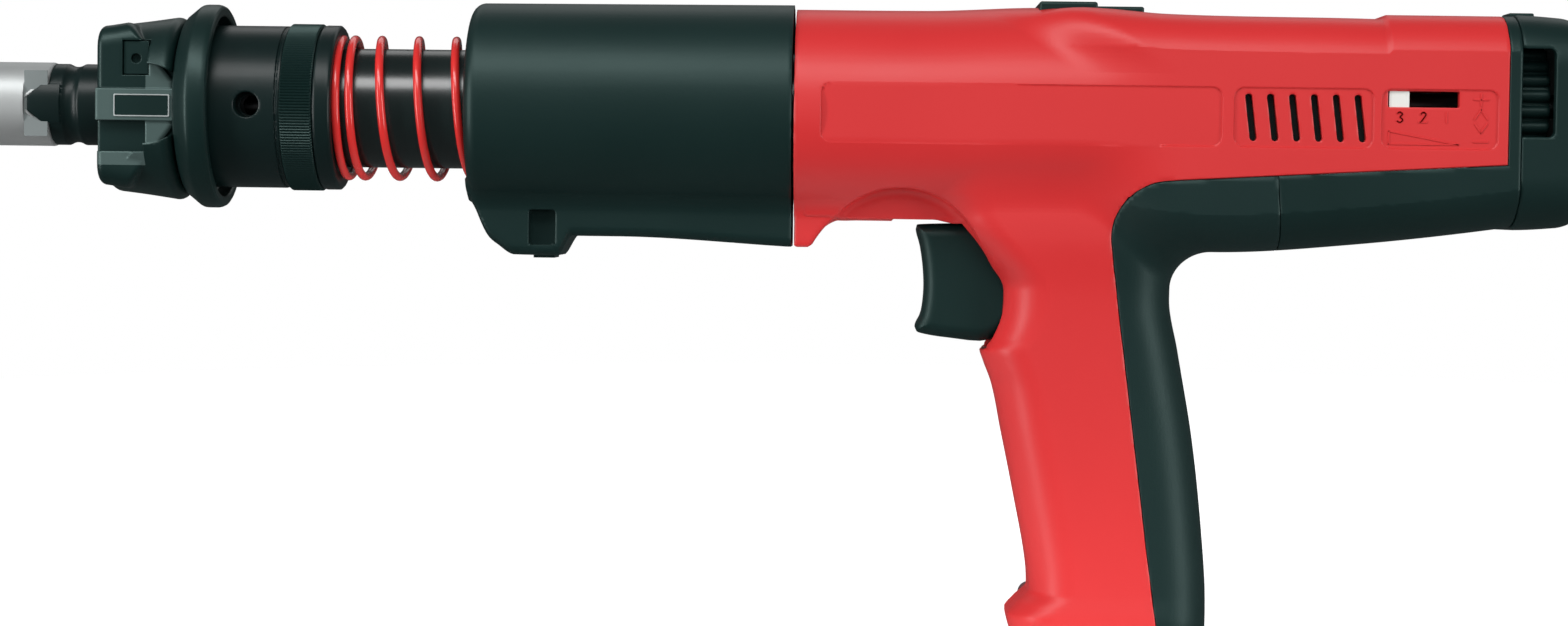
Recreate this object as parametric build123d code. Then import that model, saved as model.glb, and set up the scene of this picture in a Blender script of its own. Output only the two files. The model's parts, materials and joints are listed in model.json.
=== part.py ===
"""Powder-actuated stud driver: a pistol-grip direct fastening tool with a spring-loaded stud guide.

Frame: +Z up, -X towards the muzzle, -Y is the user's left. The origin is the middle of the hand grip.
All sizes are millimetres. Heights marked h_ are measured from the barrel axis.
"""

import math
import os

from build123d import *

os.makedirs("parts", exist_ok=True)

# ---------------------------------------------------------------- driving dimensions
AXIS = 88.0  # height of the barrel axis over the origin
MUZZLE = -284.0  # front end of the steel nose
NOSE_STROKE = 16.0  # travel of the nose when the tool is pressed on
PISTON_STROKE = 29.5  # brings the rod level with the muzzle
STRIKER_STROKE = 10.0
TRIGGER_SWING = 9.0  # degrees
INDICATOR_TRAVEL = 12.0
WALL = 2.6  # shell thickness of the moulded housings
FIT = 0.08  # radial play of sliding fits
GAP = 0.05  # play between pieces that are pressed or glued together

# stud guide (the nose that moves)
TIP_R, TIP_END = 10.5, -263.0
STUD_BORE_R, STUD_BORE_DEPTH = 6.3, 30.0
SPIGOT_R, SPIGOT_END = 8.5, -246.0
GUIDE_R, GUIDE_END = 10.2, -224.4
COVER_FRONT, COVER_BACK, COVER_FLAT = -248.6, -229.8, 17.0
FLANGE_R, FLANGE_BACK, FLANGE_POCKET_R = 25.5, -219.4, 22.4
COLLAR_R, COLLAR_END = 20.3, -189.2
KNURL_START, KNURL_END, KNURL_R = -203.3, -195.2, 20.9
TUBE_R, TUBE_BORE, TUBE_FRONT, TUBE_BACK = 14.9, 10.5, -215.0, -40.0
ROD_R, HEAD_FRONT, HEAD_BACK = 4.0, -63.0, -46.0
CHAMBER_END, CHAMBER_NOSE_R, CARTRIDGE_R = -26.0, 5.9, 3.4

# nose spring
SPRING_R, SPRING_WIRE, SPRING_TURNS = 17.2, 1.15, 10.5
SPRING_SEAT = -91.8

# front sleeve and main housing
SLEEVE_FRONT, SLEEVE_BACK, SLEEVE_BORE = -157.5, -77.2, 21.5
KEEL_HALF = 11.5  # half width of the keel under the barrel
HOUSING_FRONT, HOUSING_BACK = -76.7, 96.0
COVER_JOINT = 99.2  # plane where the rear cap meets the bezel
CAP_BACK = 119.0
STRAP_END = 41.0  # rear end of the rubber strap's upper arm
GRIP_FOOT = -131.5 + AXIS

# cartridge strip channel
STRIP_X, STRIP_LENGTH, STRIP_WIDTH, STRIP_WALL = -3.75, 12.0, 15.0, 2.0
BLOCK_FRONT, BLOCK_BACK, BLOCK_HALF = -16.6, 9.1, 11.0

# trigger group
PIVOT = (-30.0, AXIS - 25.0)  # trigger pivot, x and z
BAR_Z = AXIS - 19.6  # height of the bar that joins the trigger to the sear
SEAR_PIVOT = (30.0, AXIS - 24.0)
PAWL_PIVOT = (-20.0, AXIS - 20.0)

# power regulator
REGULATOR_Z = AXIS + 4.0
WHEEL_FRONT, WHEEL_BACK, WHEEL_R, WHEEL_RIBS = 99.8, 107.6, 18.6, 28
SLOT_FRONT, SLOT_BACK = 66.9, 84.1
SLOT_LOW, SLOT_HIGH = AXIS + 2.5, AXIS + 6.6


# ---------------------------------------------------------------- helpers
def save(name, *solids):
    """Writes one node; several solids go in as one compound."""
    pieces = [s for shape in solids for s in shape.solids()]
    shape = pieces[0] if len(pieces) == 1 else Compound(children=pieces)
    export_step(shape, f"parts/{name}.step")
    return shape


def bar(x0, x1, radius, z=AXIS, y=0.0):
    """Cylinder along X."""
    return Location((x0, y, z), (0, 90, 0)) * Cylinder(
        radius, x1 - x0, align=(Align.CENTER, Align.CENTER, Align.MIN)
    )


def tube(x0, x1, outer, inner, z=AXIS):
    """Ring along X."""
    return bar(x0, x1, outer, z) - bar(x0 - 1, x1 + 1, inner, z)


def cone(x0, x1, r0, r1, z=AXIS):
    """Truncated cone along X, radius r0 at x0 and r1 at x1."""
    return Location((x0, 0, z), (0, 90, 0)) * Cone(
        r0, r1, x1 - x0, align=(Align.CENTER, Align.CENTER, Align.MIN)
    )


def pin(x, z, y0, y1, radius):
    """Cylinder along Y."""
    return Location((x, y0, z), (-90, 0, 0)) * Cylinder(
        radius, y1 - y0, align=(Align.CENTER, Align.CENTER, Align.MIN)
    )


def block(x0, x1, y0, y1, z0, z1):
    """Box between two corners."""
    return Location((x0, y0, z0)) * Box(
        x1 - x0, y1 - y0, z1 - z0, align=(Align.MIN, Align.MIN, Align.MIN)
    )


def flanks(x0, x1, near, far, z0, z1):
    """The same box on both sides of the tool, near and far from the middle plane."""
    return block(x0, x1, near, far, z0, z1) + block(x0, x1, -far, -near, z0, z1)


def plate(outline, y0, y1):
    """Flat plate from an outline of (x, z) points, between two Y planes."""
    face = make_face(Polyline([(x, z) for x, z in outline], close=True))
    return Location((0, y0, 0)) * (Plane.XZ * extrude(face, -(y1 - y0)))


def coil(start, direction, length, turns, radius, wire):
    """Compression spring from a start point along a direction."""
    path = Helix(length / turns, length, radius)
    section = Plane(path @ 0, z_dir=path % 0) * Circle(wire)
    return Plane(start, z_dir=direction) * sweep(section, path=path, is_frenet=True)


def rims(solid, x):
    """Round edges of a turned solid at one x."""
    circles = solid.edges().filter_by(GeomType.CIRCLE)
    return [e for e in circles if abs(e.center().X - x) < 0.1]


def rounded_slab(x, half_y, h_top, h_bottom, corner):
    """Section of the body at x: a rounded rectangle in the YZ plane."""
    centre = AXIS + (h_top + h_bottom) / 2
    plane = Plane((x, 0, centre), x_dir=(0, 1, 0), z_dir=(1, 0, 0))
    return plane * RectangleRounded(2 * half_y, h_top - h_bottom, corner)


def grip_slice(h, front, back, half_y, corner):
    """Section of the grip at height h below the barrel axis, in the XY plane."""
    plane = Plane(((front + back) / 2, 0, AXIS + h), x_dir=(1, 0, 0), z_dir=(0, 0, 1))
    return plane * RectangleRounded(back - front, 2 * half_y, corner)


# ---------------------------------------------------------------- outer forms
# Body sections: x, half width, height of top and bottom over the barrel axis, corner radius.
BODY = (
    (-76.7, 25.9, 25.9, -25.9, 25.8),
    (-42.0, 25.9, 26.2, -26.3, 25.8),
    (-10.0, 25.6, 26.6, -30.0, 14.0),
    (27.0, 25.4, 25.8, -33.4, 13.0),
    (99.2, 25.4, 26.1, -26.6, 13.0),
)
# Grip sections: height below the barrel axis, front and back x, half width, corner radius.
GRIP = (
    (-16.0, -36.0, 34.0, 21.0, 11.0),
    (-30.0, -31.0, 22.0, 19.0, 11.0),
    (-43.5, -24.6, 17.1, 17.2, 12.0),
    (-58.5, -29.7, 19.7, 16.6, 12.0),
    (-67.0, -26.4, 21.3, 16.5, 12.5),
    (-90.0, -21.8, 24.9, 16.5, 12.5),
    (-114.0, -16.8, 26.9, 17.0, 12.5),
    (-120.5, -19.6, 27.4, 18.0, 13.0),
    (-125.0, -22.2, 27.3, 18.6, 13.0),
    (-131.5, -19.5, 26.6, 18.0, 13.0),
)


def body_form(inset=0.0, sections=BODY):
    """The barrel housing's outer form, or the same form taken in by a wall."""
    faces = [
        rounded_slab(x, hy - inset, top - inset, low + inset, r - inset)
        for x, hy, top, low, r in sections
    ]
    return loft(faces, ruled=True)


def grip_form(inset=0.0):
    """The hand grip's outer form, or the same form taken in by a wall."""
    faces = [
        grip_slice(h, f + inset, b - inset, hy - inset, r - inset)
        for h, f, b, hy, r in GRIP
    ]
    return loft(faces, ruled=True)


def scoop():
    """Finger relief over the trigger: two side cuts under an arch."""
    arch_x, arch_r, depth = -49.0, 21.0, 15.5
    cutter = pin(arch_x, AXIS - 39.5, -40, -depth, arch_r)
    return cutter + mirror(cutter, about=Plane.XZ)


def prism(outline, half=40.0):
    """Outline of (x, height over the barrel axis) points, as a block across the tool."""
    return plate([(x, AXIS + h) for x, h in outline], -half, half)


SEAM_TOP, SEAM_FOOT = (1.3, -31.0), (14.8, -133.0)  # red and black border down the grip
SEAM_CORNER = [
    (16.0 - 15.2 * math.sin(math.radians(a)), -31.0 + 15.2 * math.cos(math.radians(a)))
    for a in range(15, 90, 15)
]
SEAM_RUN = [(17.0, -15.7), (HOUSING_BACK, -11.1)]


def colour_zone(reach):
    """Everything above and in front of the border."""
    border = [SEAM_FOOT, SEAM_TOP, *reversed(SEAM_CORNER), *SEAM_RUN]
    return prism([(-90, -140), *border, (reach, 40), (-90, 40)])


def strap_zone():
    border = [(SEAM_FOOT[0] + GAP, -133.0), (SEAM_TOP[0] + GAP, -31.0)]
    corner = [(x + GAP, h - GAP) for x, h in reversed(SEAM_CORNER)]
    slope = (SEAM_RUN[1][1] - SEAM_RUN[0][1]) / (SEAM_RUN[1][0] - SEAM_RUN[0][0])
    top_end = SEAM_RUN[0][1] + slope * (STRAP_END - SEAM_RUN[0][0]) - GAP
    end = [(17.0, -15.7 - GAP), (STRAP_END, top_end), (STRAP_END - 1.2, -50)]
    return prism([*border, *corner, *end, (60, -60), (60, -133)])


outer = body_form() + grip_form()
inner = body_form(WALL) + grip_form(WALL)

# ---------------------------------------------------------------- main housing, two shells
half_left = block(-300, 200, -60, -GAP / 2, -100, 200)
half_right = block(-300, 200, GAP / 2, 60, -100, 200)

lip = prism([(-76.7, -20), (-76.7, -33.4), (-72.5, -33.4), (-62.0, -20)], KEEL_HALF)
lip_core = block(-80, -60, -20, 20, AXIS - 22, AXIS + 5)
rail = prism([(-74, -20), (-74, -26.7), (-33, -26.7), (-33, -20)], KEEL_HALF)
casing = (outer + lip + (rail - inner)) & colour_zone(HOUSING_BACK)
casing = casing - scoop() - (inner & prism([(-90, -140), (-90, 60), (120, 60), (120, -140)]))
casing = casing - bar(-90, -70, 18.6)
casing = casing + tube(HOUSING_FRONT, -70.1, 23.5, 18.6)

# wall between the grip's core and the rubber strap
core_wall = prism([(6.9, -75.0), (14.0, -129.0), (11.6, -129.0), (4.6, -75.0)]) & inner
casing = casing + core_wall

TRIGGER_HALF = 7.5
trigger_mouth = block(-52, -12, -TRIGGER_HALF - 0.6, TRIGGER_HALF + 0.6, AXIS - 60.5, AXIS - 22.6)
trigger_arc = pin(-44.0, AXIS - 42.6, -30, 30, 19.0)
casing = casing - trigger_mouth
casing = casing - (trigger_arc & block(-60, -20, -30, 30, AXIS - 58.5, AXIS - 27.0))
top_hole = (BLOCK_FRONT - 0.1, BLOCK_BACK + 0.1, -BLOCK_HALF - 0.1, BLOCK_HALF + 0.1)
casing = casing - block(*top_hole, AXIS + 20, AXIS + 40)
casing = casing - block(SLOT_FRONT, SLOT_BACK, -30, -15, SLOT_LOW, SLOT_HIGH)

# bosses for the trigger's and the pawl's pins, ribs around the receiver and against the chassis
px, pz = PIVOT
pawl_x, pawl_z = PAWL_PIVOT
bosses = pin(px, pz, -24, -12.2, 4.0) + pin(px, pz, 12.2, 24, 4.0)
bosses = bosses + pin(pawl_x, pawl_z, -24, -11.2, 3.0)
ribs = tube(-67.0, -64.0, 24, 17.4 + GAP) + tube(-41.0, -38.0, 24, 17.4 + GAP)
for x in (10.0, 25.0):
    ribs = ribs + flanks(x, x + 2.0, 18.05, 24, AXIS - 12, AXIS + 12)
casing = casing + ((bosses + (ribs - trigger_mouth)) & outer)
casing = casing - scoop() - pin(px, pz, -15.05, 15.05, 2.0 + GAP)
casing = casing - pin(pawl_x, pawl_z, -14.05, 0, 1.25 + GAP)
casing = casing - block(-24.0, -1.0, -12.4, -9.0, pawl_z - 3.6, pawl_z + 5.0)

# side panels and vents
VENT_FIRST, VENT_PITCH, VENT_COUNT = 34.0, 5.27, 6
for x0, x1 in ((-69.9, 27.0), (29.9, 63.5), (65.4, 93.5)):
    casing = casing - flanks(x0, x1, 24.95, 29, AXIS - 7.3, AXIS + 6.9)
for i in range(VENT_COUNT):
    x = VENT_FIRST + VENT_PITCH * i
    slot = Location((x, 0, AXIS - 0.2), (0, 6, 0)) * (Box(1.8, 60, 11.6) - Box(3, 36, 13))
    casing = casing - slot

# screw bosses: x, height over the barrel axis, distance of the screw's head from the middle
SCREWS = (
    (-64.0, 20.0, 15.8),
    (36.0, 19.0, 19.0),
    (88.0, 19.0, 19.0),
    (-17.9, -72.0, 13.0),
    (-15.6, -121.5, 15.0),
)
BOSS_R, SCREW_R, HEAD_R = 3.1, 1.6, 2.9
for x, h, head_y in SCREWS:
    z = AXIS + h
    boss = pin(x, z, -head_y, head_y, BOSS_R) & outer
    casing = casing + boss
    casing = casing - pin(x, z, -head_y + 4, head_y + 1, SCREW_R + 0.1)
    casing = casing - pin(x, z, head_y - 2.4, 40, HEAD_R + 0.1)
casing = casing - bar(-80, -60.0, 17.6) - tube(-79, -76.6, 40, 5)

save("housing_left", casing & half_left)
save("housing_right", casing & half_right)
save(
    "housing_screws",
    *[
        pin(x, AXIS + h, y - 2.3, y, HEAD_R) + pin(x, AXIS + h, -y + 5, y, SCREW_R)
        for x, h, y in SCREWS
    ],
)

# ---------------------------------------------------------------- strap, lower cover, cap
strap_core = prism([(-40, -20), (-40, -129.2), (17.5, -129.2), (4.6, -31), (4.6, -20)], 13.9)
save("grip_strap", (outer & strap_zone()) - inner - strap_core)
save(
    "grip_foot",
    (grip_form(WALL + GAP) & block(-40, 40, -30, 30, GRIP_FOOT, GRIP_FOOT + 2.2))
    - block(-11.9, 4.4, -9.6, 9.6, GRIP_FOOT - 1, GRIP_FOOT + 4)
    - core_wall,
)

slope = (SEAM_RUN[1][1] - SEAM_RUN[0][1]) / (SEAM_RUN[1][0] - SEAM_RUN[0][0])
cover_top = SEAM_RUN[0][1] + slope * (STRAP_END - SEAM_RUN[0][0])
cover_zone = prism(
    [
        (STRAP_END + GAP, cover_top - GAP),
        (HOUSING_BACK + GAP, SEAM_RUN[1][1] - GAP),
        (HOUSING_BACK + GAP, 40),
        (COVER_JOINT, 40),
        (COVER_JOINT, -50),
        (STRAP_END - 1.2 + GAP, -50),
    ]
)
lower_cover = (outer & cover_zone) - inner
lower_cover = lower_cover - block(STRAP_END - 3, 120, -BOSS_R, BOSS_R, 200, 300)
save("rear_lower_cover", lower_cover)

CAP = (
    (99.25, 25.2, 25.9, -26.5, 13.0),
    (110.0, 24.9, 25.6, -25.0, 13.0),
    (115.5, 23.4, 24.2, -22.6, 12.0),
    (119.0, 18.5, 19.6, -17.8, 9.0),
)
cap_inside = [
    (x - WALL if x > CAP[0][0] else x, half_y - WALL, top - WALL, low + WALL, r - WALL)
    for x, half_y, top, low, r in CAP
]
cap = body_form(0.0, CAP) - body_form(0.0, cap_inside)
cap = cap - block(99.0, WHEEL_BACK + 0.6, -40, 40, REGULATOR_Z - 11.3, REGULATOR_Z + 12.6)
LOCK_X, LOCK_HALF = 103.0, 4.5
cap = cap - block(99.0, LOCK_X + 3.1, -LOCK_HALF - 0.1, LOCK_HALF + 0.1, AXIS + 20, AXIS + 40)
save("rear_cap", cap)

# ---------------------------------------------------------------- front sleeve
sleeve_shell = cone(SLEEVE_FRONT, SLEEVE_BACK, 25.5, 26.3)
sleeve_shell = fillet(sleeve_shell.edges().filter_by(GeomType.CIRCLE).sort_by(Axis.X)[0], 2.4)
keel = plate(
    [
        (SLEEVE_FRONT + 1.0, AXIS - 18.0),
        (SLEEVE_FRONT + 1.0, AXIS - 23.5),
        (-147.5, AXIS - 32.0),
        (-143.5, AXIS - 36.1),
        (-134.3, AXIS - 36.3),
        (-131.6, AXIS - 31.2),
        (SLEEVE_BACK, AXIS - 33.3),
        (SLEEVE_BACK, AXIS - 18.0),
    ],
    -KEEL_HALF,
    KEEL_HALF,
)
sleeve_shell = sleeve_shell + keel
BUTTON_FRONT, BUTTON_BACK, BUTTON_HALF = -141.6, -136.4, 6.0
sleeve_shell = sleeve_shell - bar(-160, -90, SLEEVE_BORE) - bar(-95, -70, 18.6)
sleeve_shell = sleeve_shell - flanks(-142.3, -135.7, 7.9, 30, AXIS - 33.6, AXIS - 24.9)
button_hole = (BUTTON_FRONT - 0.15, BUTTON_BACK + 0.15, -BUTTON_HALF - 0.15, BUTTON_HALF + 0.15)
sleeve_shell = sleeve_shell - block(*button_hole, AXIS - 40, AXIS - 24)
# weight-saving pocket in the keel, behind the button
sleeve_shell = sleeve_shell - block(-128.0, -80.0, -8.5, 8.5, AXIS - 29.0, AXIS - 10.0)
save("front_sleeve", sleeve_shell)
save(
    "release_button",
    block(BUTTON_FRONT, BUTTON_BACK, -BUTTON_HALF, BUTTON_HALF, AXIS - 36.9, AXIS - 31.0)
    + block(-140.2, -137.8, -3.0, 3.0, AXIS - 31.2, AXIS - 27.2),
)
save("release_button_spring", coil((-139.0, 4.4, AXIS - 30.8), (0, 0, 1), 6.4, 4, 0.95, 0.25))
save("spring_seat", tube(-91.8, -90.05, SLEEVE_BORE - GAP, TUBE_R + 0.2))
save("receiver_sleeve", tube(-69.9, -20.0, 17.4, TUBE_R + FIT))

# ---------------------------------------------------------------- stud guide and collar
tip = bar(MUZZLE, TIP_END, TIP_R) + bar(TIP_END - 1, SPIGOT_END, SPIGOT_R)
tip = chamfer(rims(tip, MUZZLE), 0.7)
tip = tip - bar(MUZZLE - 1, MUZZLE + STUD_BORE_DEPTH, STUD_BORE_R)
tip = tip - bar(MUZZLE, SPIGOT_END + 1, ROD_R + 0.2)
relief = tube(-269.0, TIP_END, 12.0, 9.7) & flanks(-270, -260, 3, 20, AXIS - 8.45, AXIS + 8.45)
save("nose_tip", tip - relief)

guide = bar(TIP_END + GAP, GUIDE_END, GUIDE_R) - bar(TIP_END, SPIGOT_END + GAP, SPIGOT_R + GAP)
guide = guide - bar(-250, -200, ROD_R + 0.3)
groove = Location((-257.6, 0, AXIS), (0, 90, 0)) * Torus(GUIDE_R + 2.6, 3.3)
tongue = plate(
    [
        (TIP_END + 1.5, AXIS + 4.9),
        (-264.4, AXIS + 4.9),
        (-268.0, AXIS + 1.8),
        (-268.0, AXIS - 1.8),
        (-264.4, AXIS - 4.9),
        (TIP_END + 1.5, AXIS - 4.9),
    ],
    -20,
    20,
) & tube(-269, TIP_END + 1.5, 10.4, 9.75)
save("stud_guide", (guide - groove) + tongue)

# a square front with round corners runs into a cone that has a flat on each side
COVER_SQUARE = (
    (COVER_FRONT, 16.6, 18.4, -19.2, 5.0),
    (-247.0, 17.2, 19.4, -20.2, 5.5),
    (-239.0, 17.2, 20.0, -20.8, 5.5),
)
cover = body_form(0.0, COVER_SQUARE)
cover = cover + cone(-244.0, COVER_BACK, 20.4, 22.4)
cover = cover & block(-260, -200, -COVER_FLAT, COVER_FLAT, 0, 200)
rib = block(COVER_FRONT, COVER_BACK, -COVER_FLAT - 0.9, COVER_FLAT + 0.9, AXIS - 4.2, AXIS + 3.7)
cover = cover + rib - bar(-260, -200, GUIDE_R + GAP)
cover = cover - flanks(-250, -236.8, 15.2, 30, AXIS - 11.8, AXIS - 4.2)
LATCH = (-242.6, -236.2, AXIS + 7.0, AXIS + 14.6)  # x and z span of the latch pocket
cover = cover - flanks(LATCH[0], LATCH[1], 13.4, 30, LATCH[2], LATCH[3])
cover = cover - flanks(-243.6, -231.0, 17.5, 30, AXIS - 2.9, AXIS + 2.9)
save("guide_cover", cover)
save(
    "label_plates",
    block(-243.5, -231.1, -18.2, -17.5, AXIS - 2.8, AXIS + 2.8),
    block(-243.5, -231.1, 17.5, 18.2, AXIS - 2.8, AXIS + 2.8),
)
latch = block(LATCH[0] + 0.5, LATCH[1] - 0.2, -16.6, -14.9, LATCH[2] + 0.3, LATCH[3] - 0.3)
latch = latch - pin(-239.2, AXIS + 10.8, -20, -15.3, 0.9)
save("guide_latch", latch)
save("guide_latch_spring", coil((-239.2, -14.6, AXIS + 10.8), (0, 1, 0), 0.85, 1.5, 1.6, 0.22))

flange = bar(-227.1, FLANGE_BACK, FLANGE_R) + cone(COVER_BACK + GAP, -227.1, 22.6, FLANGE_R)
flange = flange - bar(-224.4, -200, FLANGE_POCKET_R) - bar(-260, -200, GUIDE_R + GAP)
save("nose_flange", flange)

collar = bar(GUIDE_END + GAP, KNURL_START, COLLAR_R) + bar(KNURL_START, KNURL_END, KNURL_R - 1.4)
collar = collar + bar(KNURL_END, COLLAR_END, 20.6)
collar = chamfer(rims(collar, COLLAR_END), 1.1)
collar = collar - bar(GUIDE_END, TUBE_FRONT, ROD_R + FIT)
collar = collar - bar(TUBE_FRONT, COLLAR_END + 1, TUBE_R + GAP)
VENT_X, VENT_R = -211.3, 3.1
collar = collar - pin(VENT_X, AXIS, -30, 30, VENT_R)
save("locating_collar", collar)
save("knurled_ring", tube(KNURL_START + GAP, KNURL_END - GAP, KNURL_R, KNURL_R - 1.4 + GAP))

# ---------------------------------------------------------------- piston guide and what runs in it
RING_GROOVE = (-89.95, -88.2)
guide_tube = tube(TUBE_FRONT + GAP, TUBE_BACK, TUBE_R, TUBE_BORE)
guide_tube = guide_tube - pin(VENT_X, AXIS, -30, 30, VENT_R - 0.6) - tube(*RING_GROOVE, 20, 14.0)
save("piston_guide_tube", guide_tube)
clip = tube(RING_GROOVE[0] + GAP, RING_GROOVE[1] - GAP, 17.6, 14.0 + GAP)
save("retaining_ring", clip - block(-92, -85, -2.5, 2.5, AXIS, AXIS + 30))
chamber = bar(-45.0, TUBE_BACK + 1, TUBE_BORE - GAP) + bar(TUBE_BACK + GAP, -33.0, TUBE_R)
chamber = chamber + bar(-34.0, CHAMBER_END, CHAMBER_NOSE_R)
save("cartridge_chamber", chamber - bar(-50, 0, CARTRIDGE_R))

rod_tip = MUZZLE + STUD_BORE_DEPTH + 0.3
piston = bar(rod_tip, HEAD_FRONT, ROD_R) + bar(HEAD_FRONT, HEAD_BACK, TUBE_BORE - FIT)
piston = piston + cone(HEAD_FRONT - 5, HEAD_FRONT, ROD_R, 7.0)
RINGS = (-59.0, -54.0)
for x in RINGS:
    piston = piston - tube(x, x + 1.6, 20, 8.6)
save("piston", piston)
split = [block(x, x + 2, -0.4, 0.4, AXIS, AXIS + 20) for x in RINGS]
rings = [tube(x + 0.05, x + 1.55, TUBE_BORE - 0.03, 8.65) - s for x, s in zip(RINGS, split)]
save("piston_rings", *rings)
save("piston_buffer", tube(-108.0, -98.1, TUBE_BORE - GAP, 7.3))
save("buffer_stop_ring", tube(-114.0, -108.05, TUBE_BORE - GAP, ROD_R + 0.6))
spring_start, spring_length = (COLLAR_END + 1.3, 0, AXIS), SPRING_SEAT - COLLAR_END - 2.6
save("nose_spring", coil(spring_start, (1, 0, 0), spring_length, SPRING_TURNS, SPRING_R, SPRING_WIRE))

# ---------------------------------------------------------------- cartridge channel and breech
sx0, sx1 = STRIP_X - STRIP_LENGTH / 2, STRIP_X + STRIP_LENGTH / 2
half_w = STRIP_WIDTH / 2
out_w = half_w + STRIP_WALL
channel = block(sx0 - STRIP_WALL, sx1 + STRIP_WALL, -out_w, out_w, GRIP_FOOT, AXIS + 21.9)
channel = channel - block(sx0, sx1, -half_w, half_w, GRIP_FOOT - 1, AXIS + 30)
channel = channel - bar(-20, sx0 + 1, CHAMBER_NOSE_R + 0.3) - bar(sx1 - 1, 20, 3.2)
pawl_slot = block(-8.0, -1.0, -half_w - 5, -half_w + 1, AXIS - 25.0, AXIS - 15.0)
channel = channel - pawl_slot
save("strip_channel", channel)

exit_block = block(BLOCK_FRONT, BLOCK_BACK, -BLOCK_HALF, BLOCK_HALF, AXIS + 22.0, AXIS + 27.0)
exit_block = exit_block + block(BLOCK_FRONT, -2.3, -BLOCK_HALF, BLOCK_HALF, AXIS + 26.0, AXIS + 28.1)
save("strip_exit_block", exit_block - block(sx0, sx1, -half_w, half_w, AXIS, AXIS + 40))

breech = block(sx1 + STRIP_WALL + GAP, 13.0, -16, 16, AXIS - 12.0, AXIS + 16.0)
save("breech_block", breech - bar(0, 20, 3.2) - bar(9.0, 20, 9.3))

# ---------------------------------------------------------------- striker
STRIKER_TIP = sx1 + 2.0
striker = bar(STRIKER_TIP, 14.0, 1.4) + bar(9.0 + 0.5, 40.0, 5.0) + bar(16.0, 20.0, 7.4)
save("striker", striker)
striker_tube = tube(31.0, 62.0, 9.2, 7.6) + tube(57.0, 62.0, 9.2, 3.0)
save("striker_tube", striker_tube)
save("striker_spring", coil((40.9, 0, AXIS), (1, 0, 0), 15.1, 7, 4.6, 0.7))
clamp = block(40.0, 50.0, -16, 16, AXIS - 12.5, AXIS + 12.5)
save("striker_tube_clamp", clamp - bar(30, 60, 9.2 + GAP))

# ---------------------------------------------------------------- trigger group
TRIGGER_SIDE = (
    (-45.6, -27.6),
    (-46.1, -28.6),
    (-45.0, -33.0),
    (-44.2, -39.0),
    (-44.0, -44.0),
    (-44.6, -49.5),
    (-46.0, -52.4),
    (-45.2, -54.3),
    (-38.0, -55.4),
    (-27.5, -55.9),
    (-21.5, -50.0),
    (-20.5, -40.0),
    (-24.2, -27.6),
)
trigger = prism(TRIGGER_SIDE, TRIGGER_HALF)
on_side = [e for e in trigger.edges() if abs(abs(e.center().Y) - TRIGGER_HALF) < 0.1]
trigger = fillet([e for e in on_side if e.center().X < -42], 2.6)
trigger = trigger + pin(px, pz, -TRIGGER_HALF, TRIGGER_HALF, 3.4)
trigger = trigger + block(px - 3, px + 3, -3, 3, pz - 3, AXIS - 18.2)
trigger = trigger - pin(px, pz, -20, 20, 2.0 + GAP) + pin(px, BAR_Z, -3.0, 12.4, 1.3)
save("trigger", trigger)
save("trigger_pin", pin(px, pz, -15.0, 15.0, 2.0))
save("trigger_spring", coil((-19.8, 0, AXIS - 46.0), (1, 0, 0), 7.0, 4, 2.4, 0.4))

# bar from the trigger to the sear, with a clearance hole for each one's pin
sear_x, sear_z = SEAR_PIVOT
link = block(px - 4.0, sear_x + 4.0, 9.9, 11.7, BAR_Z - 2.8, BAR_Z + 2.8)
for x in (px, sear_x):
    link = link - pin(x, BAR_Z, 5, 15, 1.3 + 0.4)
save("trigger_bar", link)

SEAR_SIDE = ((21.0, -7.9), (25.6, -7.9), (27.2, -21.0), (27.2, -26.6), (21.0, -26.6))
sear = prism(SEAR_SIDE, 3.0) + pin(sear_x, sear_z, -3.0, 3.0, 3.4)
sear = sear + block(sear_x - 2.2, sear_x + 2.2, -3, 3, sear_z, BAR_Z + 1.8)
sear = sear + block(26, sear_x, -3, 3, sear_z - 2.6, sear_z + 2.6)
sear = sear - pin(sear_x, sear_z, -10, 10, 1.5 + GAP)
save("sear", sear + pin(sear_x, BAR_Z, -3.0, 12.4, 1.3))
save("sear_pin", pin(sear_x, sear_z, -18.0, 18.0, 1.5))
save("sear_spring", coil((24.0, 0, AXIS - 27.0), (0, 0, -1), 2.7, 3, 1.7, 0.3))
chassis = flanks(4.3, 52.0, 16.05, 18.0, AXIS - 26.5, AXIS + 12.0)
save("chassis_plates", chassis - pin(sear_x, sear_z, -20, 20, 1.5 + GAP))

pawl = prism([(-23, -23), (-17, -23), (-3.0, -21.6), (-3.0, -18.4), (-17, -17), (-23, -17)], 1.0)
pawl = Location((0, -10.9, 0)) * pawl
pawl = pawl + block(-6.0, -3.2, -10.4, -half_w - 0.4, pawl_z - 1.4, pawl_z + 1.4)
save("feed_pawl", pawl - pin(pawl_x, pawl_z, -20, 0, 1.25 + GAP))
save("feed_pawl_pin", pin(pawl_x, pawl_z, -14.0, -9.9, 1.25))

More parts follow.
